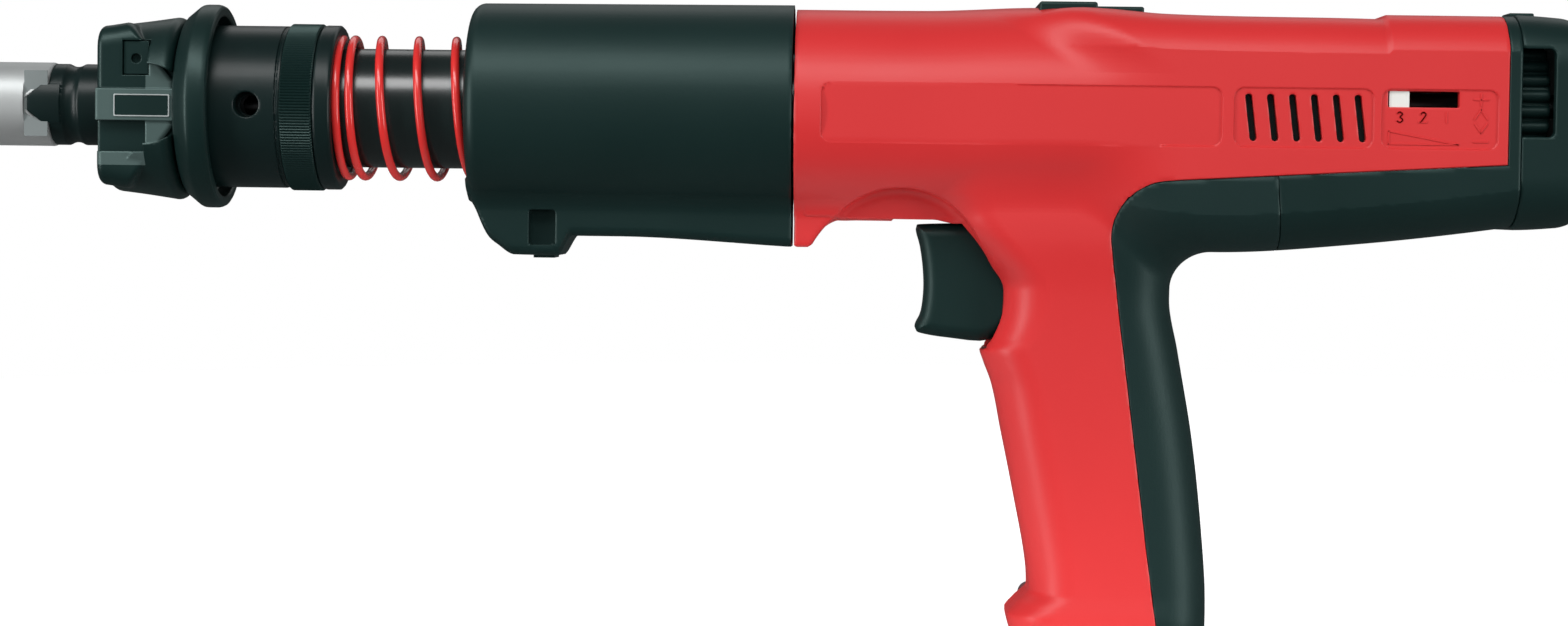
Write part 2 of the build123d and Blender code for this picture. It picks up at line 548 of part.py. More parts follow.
# ---------------------------------------------------------------- power regulator
wheel = bar(WHEEL_FRONT, WHEEL_BACK, WHEEL_R - 1.2, REGULATOR_Z)
for i in range(WHEEL_RIBS):
    angle = 2 * math.pi * (i + 0.5) / WHEEL_RIBS
    rib_y, rib_z = (WHEEL_R - 1.5) * math.cos(angle), (WHEEL_R - 1.5) * math.sin(angle)
    wheel = wheel + bar(WHEEL_FRONT, WHEEL_BACK, 1.1, REGULATOR_Z + rib_z, rib_y)
save("regulator_wheel", wheel - bar(90, 120, 3.0 + GAP, REGULATOR_Z))
save("regulator_spindle", bar(64.0, 112.0, 3.0, REGULATOR_Z))
spindle_hole = bar(60, 120, 3.0 + FIT, REGULATOR_Z)
bearing = block(88.6, 94.6, -22.65, 22.65, AXIS - 9.0, AXIS + 14.5)
save("regulator_bearing", bearing - spindle_hole)

carriage = block(67.2, 72.2, -16.0, 8.0, REGULATOR_Z - 6.5, REGULATOR_Z + 6.5) - spindle_hole
flag = block(67.3, 72.1, -24.4, -15.9, SLOT_LOW + 0.1, SLOT_HIGH - 0.1)
save("power_indicator", carriage + flag)
lock = block(COVER_JOINT + 0.6, LOCK_X + 3.0, -LOCK_HALF, LOCK_HALF, AXIS + 24.4, AXIS + 26.9)
save("wheel_lock_button", lock)
screens = [block(31.5, 62.0, y, y + 1.0, AXIS - 6.8, AXIS + 6.4) for y in (-22.4, 21.4)]
save("vent_screens", *screens)
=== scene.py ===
# %% [markdown]
# # A powder-actuated stud driver, piece by piece
# The engineering model gives every steel and plastic part its real place. This lesson gives them
# their looks: moulded shells, turned steel, a lacquered spring. We load the model as a frame and
# build each visible piece in that same frame, so nothing has to be fitted by eye.

# %% Load the frame
import json
import math

import bmesh
import bpy
import numpy as np
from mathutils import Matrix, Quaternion, Vector


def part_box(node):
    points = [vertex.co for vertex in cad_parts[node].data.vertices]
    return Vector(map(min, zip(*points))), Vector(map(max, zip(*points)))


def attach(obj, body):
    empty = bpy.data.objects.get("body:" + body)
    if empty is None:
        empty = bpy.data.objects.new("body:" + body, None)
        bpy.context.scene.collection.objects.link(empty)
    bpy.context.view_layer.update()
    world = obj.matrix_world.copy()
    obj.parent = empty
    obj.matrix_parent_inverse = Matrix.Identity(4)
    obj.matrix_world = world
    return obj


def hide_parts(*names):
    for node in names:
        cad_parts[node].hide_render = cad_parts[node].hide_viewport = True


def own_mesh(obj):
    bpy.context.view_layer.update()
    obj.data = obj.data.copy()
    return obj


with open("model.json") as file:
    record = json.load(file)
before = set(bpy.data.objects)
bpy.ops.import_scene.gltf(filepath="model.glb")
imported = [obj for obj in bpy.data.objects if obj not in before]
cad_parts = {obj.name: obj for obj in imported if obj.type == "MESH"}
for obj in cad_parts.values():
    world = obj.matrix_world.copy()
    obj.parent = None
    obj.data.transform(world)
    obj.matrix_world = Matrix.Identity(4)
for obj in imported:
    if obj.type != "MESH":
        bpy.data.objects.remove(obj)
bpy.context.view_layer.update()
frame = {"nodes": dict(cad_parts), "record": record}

# %% [markdown]
# Sizes come from the frame itself. The barrel's axis is the middle of the piston guide tube, and
# every height below is measured from it, in millimetres, because that is how the tool is drawn.

# %% Key sizes
def box_mm(node):
    """Lowest and highest corner of a node, in millimetres."""
    low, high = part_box(node)
    return np.array(low) * 1000, np.array(high) * 1000


tube_low, tube_high = box_mm("piston_guide_tube")
AXIS = (tube_low[2] + tube_high[2]) / 2
SLEEVE_FRONT, SLEEVE_BACK = box_mm("front_sleeve")[0][0], box_mm("front_sleeve")[1][0]
HOUSING_FRONT, HOUSING_BACK = box_mm("housing_left")[0][0], box_mm("housing_left")[1][0]
GRIP_FOOT = box_mm("housing_left")[0][2] - AXIS
print("axis", AXIS, "sleeve", SLEEVE_FRONT, SLEEVE_BACK, "housing", HOUSING_FRONT, HOUSING_BACK)

# %% [markdown]
# ## Shapes as distance fields
# A moulded shell has faces that flow into each other with fillets, which is hard work vertex by
# vertex. Instead each piece is written as a distance: below zero is plastic, above zero is air.
# Distances combine simply. The larger of two is what both share, the smaller is both together,
# and a small circle in the corner gives a fillet of a true radius.

# %% Distance helpers
def fade(start, end, t):
    """Runs smoothly from 0 at start to 1 at end."""
    u = np.clip((t - start) / (end - start), 0, 1)
    return u * u * (3 - 2 * u)


def along(stations, t):
    """A smooth curve through (position, value) stations, with no overshoot."""
    p, v = (np.array(c, float) for c in zip(*stations))
    step = np.diff(v) / np.diff(p)
    slope = np.concatenate(([step[0]], (step[1:] + step[:-1]) / 2, [step[-1]]))
    turn = step[1:] * step[:-1] <= 0
    slope[1:-1][turn] = 0
    limit = 3 * np.minimum(np.abs(np.append(step, step[-1])), np.abs(np.insert(step, 0, step[0])))
    slope = np.clip(slope, -limit, limit)
    t = np.clip(t, p[0], p[-1])
    i = np.clip(np.searchsorted(p, t, side="right") - 1, 0, len(p) - 2)
    w = p[i + 1] - p[i]
    u = (t - p[i]) / w
    return ((1 + 2 * u) * v[i] + u * w * slope[i]) * (1 - u) ** 2 + (
        (3 - 2 * u) * v[i + 1] + (u - 1) * w * slope[i + 1]) * u**2


def both(a, b, r=0.0):
    """What two shapes share, its corner rounded to radius r."""
    if np.all(r == 0):
        return np.maximum(a, b)
    return np.minimum(-r, np.maximum(a, b)) + np.hypot(np.maximum(a + r, 0), np.maximum(b + r, 0))


def join(a, b, r=0.0):
    """Two shapes as one, with a fillet of radius r between them."""
    return -both(-a, -b, r)


def less(a, b, r=0.0):
    """Shape a with shape b cut away."""
    return both(a, -b, r)


def span(t, low, high):
    return np.maximum(low - t, t - high)


def brick(x, y, h, xs, ys, hs, r=0.0):
    """A box between three pairs of limits, with rounded edges."""
    return both(both(span(x, *xs), span(y, *ys), r), span(h, *hs), r)


def rod(x, y, h, xs, radius, r=0.0):
    """A cylinder on the barrel's axis."""
    return both(np.hypot(y, h) - radius, span(x, *xs), r)


def capsule(x, h, a, b, r):
    """Distance in the side view to a rounded bar from point a to point b."""
    ax, ah, bx, bh = *a, *b
    length2 = (bx - ax) ** 2 + (bh - ah) ** 2
    t = np.clip(((x - ax) * (bx - ax) + (h - ah) * (bh - ah)) / length2, 0, 1)
    return np.hypot(x - ax - t * (bx - ax), h - ah - t * (bh - ah)) - r


def ring_of(points, steps=8):
    """A smooth closed loop through a few points."""
    p = np.array(points, float)
    a, b, c, d = np.roll(p, 1, 0), p, np.roll(p, -1, 0), np.roll(p, -2, 0)
    out = []
    for i in range(len(p)):
        for t in np.arange(steps) / steps:
            out.append(0.5 * (2 * b[i] + (c[i] - a[i]) * t + (2 * a[i] - 5 * b[i] + 4 * c[i] - d[i]) * t**2
                              + (3 * b[i] - a[i] - 3 * c[i] + d[i]) * t**3))
    return np.array(out)


def inside_loop(x, h, loop):
    """Signed distance in the side view to a closed loop of points."""
    best = np.full(np.broadcast(x, h).shape, 1e9)
    side = np.ones_like(best)
    for (ax, ah), (bx, bh) in zip(loop, np.roll(loop, -1, 0)):
        best = np.minimum(best, capsule(x, h, (ax, ah), (bx, bh), 0))
        crosses = ((ah > h) != (bh > h)) & (x < ax + (h - ah) * (bx - ax) / (bh - ah + 1e-12))
        side = np.where(crosses, -side, side)
    return best * side


# %% [markdown]
# ## From a distance to a mesh
# Blender needs polygons. We sample the distance on a grid and find where it changes sign along
# each grid line. A cell that the surface passes through gets one vertex, placed where the planes
# of its crossings meet, so sharp edges stay sharp. This is dual contouring. Normals are read from
# the distance itself, a little inside each face corner, so a smooth wall shades perfectly smooth
# and an edge still breaks cleanly.

# %% The mesher
def slope_of(shape, p):
    """Unit normal of the distance at points p."""
    e = 0.03
    total = np.zeros_like(p)
    for s in ((1, 1, 1), (1, -1, -1), (-1, 1, -1), (-1, -1, 1)):
        q = p + e * np.array(s)
        total += np.array(s) * shape(*q.T)[:, None]
    return total / np.maximum(np.linalg.norm(total, axis=1, keepdims=True), 1e-9)


def contour(shape, grid):
    """Vertices and quads of the surface where shape is zero."""
    d = shape(*np.meshgrid(*grid, indexing="ij", sparse=True))
    d = np.broadcast_to(d, [len(g) for g in grid]).astype(float)
    solid = d < 0
    cells = np.array(d.shape) - 1
    rings, points, flips = [], [], []
    for axis in range(3):
        unit = np.eye(3, dtype=int)[axis]
        low, high = [slice(None)] * 3, [slice(None)] * 3
        low[axis], high[axis] = slice(0, -1), slice(1, None)
        at = np.argwhere(solid[tuple(low)] != solid[tuple(high)])
        a = np.stack([grid[k][at[:, k]] for k in range(3)], 1)
        b = np.stack([grid[k][(at + unit)[:, k]] for k in range(3)], 1)
        da, db = d[tuple(at.T)].copy(), d[tuple((at + unit).T)].copy()
        flips.append(da >= 0)
        for _ in range(4):
            p = a + (b - a) * (da / (da - db))[:, None]
            dp = shape(*p.T)
            near = (dp < 0) == (da < 0)
            a[near], da[near] = p[near], dp[near]
            b[~near], db[~near] = p[~near], dp[~near]
        points.append(a + (b - a) * (da / (da - db))[:, None])
        u, v = np.eye(3, dtype=int)[(axis + 1) % 3], np.eye(3, dtype=int)[(axis + 2) % 3]
        corners = [at - u - v, at - v, at, at - u]
        rings.append(np.stack([np.ravel_multi_index(c.T, cells) for c in corners], 1))
    rings, points, flips = np.concatenate(rings), np.concatenate(points), np.concatenate(flips)
    ids, quads = np.unique(rings, return_inverse=True)
    quads = quads.reshape(-1, 4)
    return place(shape, grid, cells, ids, quads, points), np.where(flips[:, None], quads[:, ::-1], quads)


def place(shape, grid, cells, ids, quads, points):
    """One vertex per cell, where the planes through its crossings meet."""
    normal = slope_of(shape, points)
    flat, count = quads.ravel(), np.bincount(quads.ravel())
    gather = lambda values: np.bincount(flat, np.repeat(values, 4), len(ids))
    middle = np.stack([gather(points[:, k]) for k in range(3)], 1) / count[:, None]
    ata = np.zeros((len(ids), 3, 3))
    atb = np.zeros((len(ids), 3))
    offset = (normal * points).sum(1)
    for i in range(3):
        atb[:, i] = gather(normal[:, i] * offset)
        for j in range(3):
            ata[:, i, j] = gather(normal[:, i] * normal[:, j])
    residual = atb - np.einsum("nij,nj->ni", ata, middle)
    move = np.linalg.solve(ata + 0.06 * np.eye(3), residual[..., None])[..., 0]
    index = np.stack(np.unravel_index(ids, cells), 1)
    low = np.stack([grid[k][index[:, k]] for k in range(3)], 1)
    high = np.stack([grid[k][index[:, k] + 1] for k in range(3)], 1)
    return np.clip(middle + move, low, high)


def steps(low, high, size, fine=()):
    """Grid lines from low to high, closer together inside each (from, to, size) stretch."""
    lines, t = [low - 2 * size], low - 2 * size
    while t < high + size:
        t += min([size] + [s for a, b, s in fine if a - s <= t <= b])
        lines.append(t)
    return np.array(lines)


def mould(name, shape, xs, ys, hs):
    """Makes the mesh of a distance shape, given grid lines in x, y and height over the axis."""
    verts, quads = contour(shape, (xs, ys, hs))
    corners = verts[quads]
    centre = corners.mean(1, keepdims=True)
    normals = slope_of(shape, (corners * 0.7 + centre * 0.3).reshape(-1, 3))
    mesh = bpy.data.meshes.new(name)
    mesh.from_pydata(((verts + (0, 0, AXIS)) / 1000).tolist(), [], quads.tolist())
    mesh.shade_smooth()
    mesh.normals_split_custom_set(normals.tolist())
    piece = bpy.data.objects.new(name, mesh)
    bpy.context.scene.collection.objects.link(piece)
    print(name, len(quads), "faces")
    return piece


def fit(piece, body, slot, finish, *nodes):
    """Gives a piece its body, finish and the nodes it stands for; the record slot is not used."""
    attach(piece, body)
    if nodes:
        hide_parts(*nodes)
    piece.data.materials.clear()
    piece.data.materials.append(finish)
    return piece


# %% [markdown]
# ## Finishes
# A material is a small program. This class wraps one socket so that shader maths reads like
# ordinary maths: `0.3 + 0.1 * noise` adds the Math nodes by itself. Every other node comes from
# `Finish.node`, which sets its options first and then its sockets.

# %% Shader maths
class Signal:
    """One output socket that can be added, multiplied and compared."""

    def __init__(self, finish, socket):
        self.finish, self.socket = finish, socket

    def maths(self, operation, a, b):
        return self.finish.node("ShaderNodeMath", {"operation": operation}, {0: a, 1: b})

    def __add__(self, other): return self.maths("ADD", self, other)
    def __radd__(self, other): return self.maths("ADD", other, self)
    def __sub__(self, other): return self.maths("SUBTRACT", self, other)
    def __rsub__(self, other): return self.maths("SUBTRACT", other, self)
    def __mul__(self, other): return self.maths("MULTIPLY", self, other)
    def __rmul__(self, other): return self.maths("MULTIPLY", other, self)
    def __gt__(self, other): return self.maths("GREATER_THAN", self, other)
    def __lt__(self, other): return self.maths("LESS_THAN", self, other)
    def __abs__(self): return self.maths("ABSOLUTE", self, 0.0)


class Finish:
    """A procedural material with one Principled shader."""

    def __init__(self, name):
        self.material = bpy.data.materials.new(name)
        self.material.use_nodes = True
        self.tree = self.material.node_tree
        self.shader = self.tree.nodes["Principled BSDF"]
        self.place = self.node("ShaderNodeTexCoord", out="Object")

    def node(self, kind, settings=None, sockets=None, out=0):
        made = self.tree.nodes.new(kind)
        for key, value in (settings or {}).items():
            setattr(made, key, value)
        for key, value in (sockets or {}).items():
            self.feed(made.inputs[key], value)
        return Signal(self, made.outputs[out])

    def feed(self, socket, value):
        if isinstance(value, Signal):
            self.tree.links.new(value.socket, socket)
        else:
            socket.default_value = value

    def set(self, **values):
        for key, value in values.items():
            self.feed(self.shader.inputs[key.replace("_", " ")], value)
        return self

    def noise(self, scale, detail=3.0, roughness=0.5):
        """Noise over the piece; scale is in lumps per metre."""
        return self.node("ShaderNodeTexNoise", {}, {"Vector": self.place, "Scale": scale, "Detail": detail,
                                                    "Roughness": roughness})

    def blend(self, amount, first, second):
        """Mixes two colours, each a plain triple or a socket."""
        first, second = (c if isinstance(c, Signal) else (*c, 1) for c in (first, second))
        return self.node("ShaderNodeMix", {"data_type": "RGBA"}, {0: amount, 6: first, 7: second}, out=2)

    def bump(self, height, depth):
        """Turns a height between 0 and 1 into a normal; depth is in metres."""
        return self.node("ShaderNodeBump", {}, {"Height": height, "Distance": depth, "Strength": 1.0})


# %% [markdown]
# The two big mouldings are glass-filled nylon. The tool they were moulded in was spark-eroded,
# which leaves a fine even grain: we feel it as satin. Handling polishes it in broad soft patches,
# so roughness drifts slowly while the grain stays fine.

# %% Moulded plastics and rubber
def moulded(name, light, dark, rough, grain=0.00002, size=1500, tint=(1, 1, 1), bright=None):
    """Grained plastic or rubber; bright is a function that makes a mask for faces that get a painted sheen."""
    f = Finish(name)
    drift = f.noise(22, 3)
    skin = f.noise(size, 4, roughness=0.65)
    colour = f.blend(drift, dark, light)
    if bright:
        # Faces under the mask take a painted sheen colour in place of the plastic's own.
        colour = f.blend(bright(f), colour, PAINTED_SHEEN)
    f.set(Base_Color=colour, Roughness=rough + 0.10 * drift - 0.05 + 0.05 * skin,
          Normal=f.bump(skin, grain), Specular_IOR_Level=0.40, Specular_Tint=(*tint, 1))
    return f.material


# Painted sheen: the light blue-grey of a flat face that catches the key light.
PAINTED_SHEEN = (0.060, 0.092, 0.088)
COOL = (0.72, 1.0, 0.95)
RED_SHELL = moulded("red moulded shell", (0.60, 0.029, 0.030), (0.555, 0.024, 0.026), 0.38)
BLACK_SHELL = moulded("black moulded shell", (0.0050, 0.0175, 0.0165), (0.0035, 0.0125, 0.0118), 0.42, tint=COOL)
GRIP_RUBBER = moulded("soft grip rubber", (0.0075, 0.0215, 0.0205), (0.0045, 0.0140, 0.0135), 0.46, 0.00003, 2200,
                      COOL)

# %% [markdown]
# ## The camera
# The tool lies across the view with its left side towards us. A moderately long lens keeps the
# shells from bulging, and the small roll lets the barrel fall slightly to the right.

# %% Camera
def aim_camera():
    camera = bpy.data.cameras.new("camera")
    camera.lens, camera.sensor_width = 69.9, 36
    camera.clip_start, camera.clip_end = 0.05, 50
    eye = bpy.data.objects.new("camera", camera)
    bpy.context.scene.collection.objects.link(eye)
    bpy.context.scene.camera = eye
    yaw, pitch, roll = math.radians(1.42), math.radians(-2.12), math.radians(-0.75)
    eye.location = (-0.060, -0.765, 0.0662)
    look = Vector((-math.sin(yaw) * math.cos(pitch), math.cos(yaw) * math.cos(pitch), math.sin(pitch)))
    eye.rotation_mode = "QUATERNION"
    eye.rotation_quaternion = Quaternion(look, roll) @ look.to_track_quat("-Z", "Y")


aim_camera()
print("camera at", tuple(bpy.context.scene.camera.location))

# %% [markdown]
# ## The barrel housing and the grip
# One form runs through five mouldings: a round barrel at the front, a flat-sided box behind it,
# and a hand grip that grows out of both. We write that form once and cut every shell from it,
# just as the pattern maker would. Stations give sizes at a few places and `along` joins them.

# %% The outer form
BARREL = ((-80, 25.9), (-60, 25.9), (-40, 26.0), (-20, 26.1), (0, 26.1))
ROOF = ((-40, 26.8), (-20, 27.0), (0, 26.3), (14, 25.2), (60, 24.6), (66.5, 24.5), (68, 25.5), (119, 25.4))
KEEL = ((-30, -27.0), (0, -31.0), (27, -33.2), (60, -31.0), (100, -26.0), (119, -22.6))
GRIP_FRONT = ((-131.5, -20.3), (-127.5, -21.6), (-124.3, -22.2), (-121.3, -20.1), (-117.8, -16.9), (-113, -17.2),
              (-94, -20.8), (-79, -24.0), (-67, -26.6), (-61.4, -28.7), (-58.4, -29.6), (-55.4, -27.7),
              (-49.3, -25.3), (-43.3, -24.9), (-34, -31.0), (-27, -37.0), (-20, -40.0))
GRIP_BACK = ((-131.5, 26.9), (-120, 27.1), (-102, 25.9), (-79, 23.1), (-58, 19.3), (-45, 17.0), (-30, 17.0), (0, 19.5))
GRIP_HALF = ((-131.5, 18.0), (-125, 18.6), (-118, 17.4), (-90, 16.5), (-60, 16.5), (-44, 17.0), (-30, 18.6),
             (-12, 17), (0, 15))


def barrel_and_box(x, y, h):
    """The upper form: a cylinder that turns into a flat-sided box."""
    barrel = np.hypot(y, h - 0.9 * fade(-45, -15, x)) - along(BARREL, x)
    top, low = along(ROOF, x), along(KEEL, x)
    side = both(np.abs(y) - 26.1, np.abs(h - (top + low) / 2) - (top - low) / 2, 13.5)
    side = np.maximum(side, np.abs(y) - 25.4)
    turn = fade(-16, 10, x + 1.4 * np.clip(h - 16, -6, 10))
    return barrel + (side - barrel) * turn


def grip_stem(x, y, h):
    front, back, half = along(GRIP_FRONT, h), along(GRIP_BACK, h), along(GRIP_HALF, h)
    flat = both(np.abs(y) - half, np.abs(x - (front + back) / 2) - (back - front) / 2, 12.0)
    return flat * 0.97


def outer_form(x, y, h):
    """Barrel, box and grip as one body, with a generous fillet where the grip leaves it."""
    fillet = 5.0 + 5.0 * fade(-10, 20, x)
    stem = both(both(grip_stem(x, y, h), h + 12), GRIP_FOOT - h, 1.5)
    return join(barrel_and_box(x, y, h), stem, fillet)


# %% [markdown]
# The border between red and black runs up the grip, turns a round corner, and runs back under
# the box. As a distance it is two straight lines that share a rounded corner.

# %% The red and black border
def black_side(x, h, gap=0.0):
    """Below zero behind and under the border."""
    up = -((x - 1.3) * 102 + (h + 31) * 13.5) / 102.9
    over = ((h + 15.7) * 79 - (x - 17) * 4.6) / 79.13
    return both(up, over, 15.2) + gap


def finger_scoop(x, y, h):
    """Hollow over the trigger on both sides, where the fingertip lies."""
    arch = np.hypot(x + 50.3, h + 39.3) - 21.0
    return both(arch, 9.4 - np.abs(y), 3.0)


def front_lip(x, y, h):
    """The tongue under the front end that meets the sleeve's keel, and the flat rail behind it."""
    lip = brick(x, y, h, (HOUSING_FRONT, -62), (-11.5, 11.5), (-33.3, -18), 1.0)
    lip = less(lip, np.hypot(x + 50.0, h + 45.5) - 25.6, 0.8)
    rail = brick(x, y, h, (-74, -30), (-11.9, 11.9), (-25.8, -15), 0.6)
    return np.minimum(lip, rail)


def mouth(x, y, h):
    """Opening that the trigger swings in."""
    side = both(inside_loop(x, h, mouth_loop), span(h, -57.8, -27.0))
    slot = brick(x, y, h, (-52, -12), (-8.1, 8.1), (-58.2, -22.6), 1.0)
    return np.minimum(side, slot)


MOUTH = ((-61, -22), (-38.5, -22.3), (-34.9, -27.0), (-31.5, -31.0), (-29.0, -34.6), (-27.2, -38.2), (-25.8, -41.9),
         (-25.4, -44.3), (-26.0, -47.3), (-27.2, -50.9), (-28.8, -55.8), (-31.0, -59.0), (-61, -62))
mouth_loop = ring_of(MOUTH, 3)

# %% [markdown]
# The side carries three shallow panels, each with a softly broken rim: a long one that is left
# blank, one with six slanted vents, and one with the power scale and its window.

# %% Panels, vents and window
PANELS = ((-70.0, 27.0), (29.9, 63.5), (65.4, 93.5))
WINDOW = (66.9, 84.1, 2.6, 6.5)


def panel_recess(x, y, h):
    best = 1e3
    for low, high in PANELS:
        best = np.minimum(best, both(span(x, low, high), span(h, -7.4, 6.9), 2.5))
    return both(best, 24.9 - np.abs(y))


def vents(x, y, h):
    best = 1e3
    for i in range(6):
        best = np.minimum(best, capsule(x, h, (33.4 + 5.27 * i, 4.6), (34.6 + 5.27 * i, -5.1), 0.87))
    return both(best, 18.0 - np.abs(y))


def window(x, y, h):
    return brick(x, y, h, WINDOW[:2], (-30, -14), WINDOW[2:], 0.4)


def red_shell(x, y, h):
    skin = join(outer_form(x, y, h), front_lip(x, y, h), 3.0)
    skin = less(skin, finger_scoop(x, y, h), 0.5)
    skin = both(skin, -black_side(x, h), 0.4)
    skin = both(skin, span(x, HOUSING_FRONT, HOUSING_BACK), 0.5)
    skin = less(skin, panel_recess(x, y, h), 0.3)
    cavity = less(outer_form(x, y, h) + 2.9, finger_scoop(x, y, h) - 2.6)
    skin = np.maximum(skin, -both(cavity, HOUSING_FRONT + 7 - x))
    skin = np.maximum(skin, -rod(x, y, h, (-90, -60), 18.6))
    skin = less(skin, mouth(x, y, h), 0.8)
    skin = less(skin, vents(x, y, h), 0.25)
    return np.maximum(skin, -brick(x, y, h, (-16.7, 9.2), (-11.1, 11.1), (20, 40)))


def left_shell(x, y, h):
    return less(both(red_shell(x, y, h), y + 0.06, 0.25), window(x, y, h), 0.2)


def right_shell(x, y, h):
    shell = both(red_shell(x, y, h), 0.06 - y, 0.25)
    for sx, sh, depth in SCREWS:
        shell = np.maximum(shell, -both(np.hypot(x - sx, h - sh) - 3.0, depth - 2.4 - y))
    return shell


SCREWS = ((-64.0, 20.0, 15.8), (36.0, 19.0, 19.0), (88.0, 19.0, 19.0), (-17.9, -72.0, 13.0), (-15.6, -121.5, 15.0))

# %% [markdown]
# Now the two shells can be made. The grid is finer where something small is cut: the front edge,
# the vents and the panels. The right shell has no window, but it has the five screw recesses.

# %% Make both shells
FINE_X = ((-80, -66, 0.8), (-36, -20, 0.8), (26, 98, 0.6))
shell_x = steps(HOUSING_FRONT, HOUSING_BACK, 1.2, FINE_X)
shell_h = steps(GRIP_FOOT, 28.2, 1.2, ((-9, 9, 0.6), (-60, -54, 0.8)))
left = mould("shell_left", left_shell, shell_x, steps(-26.4, 0, 1.1), shell_h)
fit(left, "housing", "moulded_red", RED_SHELL, "housing_left")
right = mould("shell_right", right_shell, shell_x, steps(0, 26.4, 1.1), shell_h)
fit(right, "housing", "moulded_red", RED_SHELL, "housing_right")

# %% [markdown]
# ## Rubber strap, lower cover and rear cap
# The same form behind the border is soft rubber down the grip and hard black plastic under the
# box. The cap closes the rear; its shoulders are rounder, and a window on each side lets a thumb
# reach the power wheel.

# %% Strap, cover and cap
def strap(x, y, h):
    skin = both(outer_form(x, y, h), black_side(x, h, 0.12), 0.5)
    skin = both(skin, (x - 41.0) * 0.996 + (h + 16) * 0.07 + 0.06, 0.5)
    return np.maximum(skin, -(outer_form(x, y, h) + 2.6))


def lower_cover(x, y, h):
    skin = outer_form(x, y, h)
    under = np.minimum(black_side(x, h, 0.12), HOUSING_BACK + 0.12 - x)
    skin = both(skin, under, 0.4)
    skin = both(skin, -((x - 41.0) * 0.996 + (h + 16) * 0.07) + 0.06, 0.4)
    skin = both(skin, x - 99.15, 0.7)
    return np.maximum(skin, -(outer_form(x, y, h) + 2.6))


def cap_form(x, y, h):
    side = both(np.abs(y) - 25.2, np.abs(h + 0.5) - 26.3 + 1.1 * fade(100, 119, x), 13.0)
    return both(side, x - 119.0, 9.0)


def rear_cap(x, y, h):
    skin = both(cap_form(x, y, h), 99.25 - x, 0.6)
    hole = both(span(x, 90, 107.2), span(h, -4.2, 17.2), 1.5)
    skin = less(skin, hole, 0.6)
    skin = np.maximum(skin, -brick(x, y, h, (90, 106.1), (-4.6, 4.6), (20, 40)))
    return np.maximum(skin, -both(cap_form(x + 2.6, y, h) + 2.6, 90 - x))


fit(mould("grip_strap_skin", strap, steps(0, 42, 1.0), steps(-26, 26, 1.1), steps(GRIP_FOOT, -14, 1.0)),
    "housing", "black_rubber", GRIP_RUBBER, "grip_strap")
fit(mould("lower_cover_skin", lower_cover, steps(39, 99.2, 1.0, ((95, 99.2, 0.5),)), steps(-26, 26, 1.0),
          steps(-34, 28, 1.0)), "housing", "moulded_black", BLACK_SHELL, "rear_lower_cover")
fit(mould("rear_cap_skin", rear_cap, steps(99, 119, 0.8), steps(-26, 26, 0.8), steps(-27, 27, 0.8)),
    "housing", "moulded_black", BLACK_SHELL, "rear_cap")

# %% [markdown]
# ## The front sleeve
# A plain black barrel with a keel under it. The keel has a foot with a slot across it: the
# catch that frees the nose for cleaning sits inside.

# %% Sleeve
SLEEVE_KEEL = ((-157, -22), (-153, -31), (-150, -33.8), (-146, -36.1), (-135.4, -36.2), (-131.5, -31.3),
               (-120, -31.3), (-78, -33.3))


def sleeve(x, y, h):
    round_part = both(np.hypot(y, h - 0.9) - (25.7 + 0.4 * (x + 157.5) / 80), SLEEVE_FRONT - x, 3.2)
    keel = both(both(np.abs(y) - 11.5, along(SLEEVE_KEEL, x) - h, 2.5), both(SLEEVE_FRONT + 0.6 - x, h + 14))
    skin = both(join(round_part, keel, 3.0), x - SLEEVE_BACK, 0.4)
    skin = np.maximum(skin, -rod(x, y, h, (-170, -90), 21.5))
    skin = np.maximum(skin, -rod(x, y, h, (-95, -70), 18.6))
    slot = both(brick(x, y, h, (-142.3, -135.7), (-30, 30), (-33.6, -24.9), 0.8), 7.9 - np.abs(y))
    skin = less(skin, slot, 0.3)
    skin = np.maximum(skin, -brick(x, y, h, (-141.8, -136.2), (-6.2, 6.2), (-40, -24)))
    return np.maximum(skin, -brick(x, y, h, (-128, -80), (-8.5, 8.5), (-29, -10)))


fit(mould("front_sleeve_skin", sleeve, steps(SLEEVE_FRONT, SLEEVE_BACK, 1.0, ((-158, -130, 0.7),)),
          steps(-26.5, 26.5, 1.0), steps(-36.5, 26.5, 1.0)), "housing", "moulded_black", BLACK_SHELL, "front_sleeve")

# %% [markdown]
# ## Steel, lacquer and brass
# Turned steel shows the tool's path: fine rings round the axis. A wave of very short length along
# the barrel gives them, and a little noise keeps them from looking printed. Black oxide is a thin
# coat on the same steel, so it keeps the sharp reflections and loses the brightness.

# %% Metals
def turned_steel(name, light, dark, rough, metal=1.0, rings=1400, depth=0.000006, shine=0.5):
    f = Finish(name)
    rings_on = f.node("ShaderNodeTexWave", {"wave_type": "BANDS", "bands_direction": "X"},
                      {"Vector": f.place, "Scale": rings, "Distortion": 2.0, "Detail": 2.0})
    cloud = f.noise(60, 4)
    f.set(Base_Color=f.blend(cloud, dark, light), Metallic=metal, Roughness=rough + 0.12 * cloud - 0.05,
          Normal=f.bump(0.6 * rings_on + 0.4 * f.noise(900, 3), depth), Specular_IOR_Level=shine)
    return f.material


def plain(name, colour, rough, metal=0.0, coat=0.0):
    f = Finish(name)
    cloud = f.noise(80, 4)
    darker = tuple(c * 0.82 for c in colour)
    f.set(Base_Color=f.blend(cloud, darker, colour), Metallic=metal, Roughness=rough + 0.10 * (cloud - 0.5),
          Normal=f.bump(f.noise(1800, 3), 0.000006), Coat_Weight=coat)
    return f.material


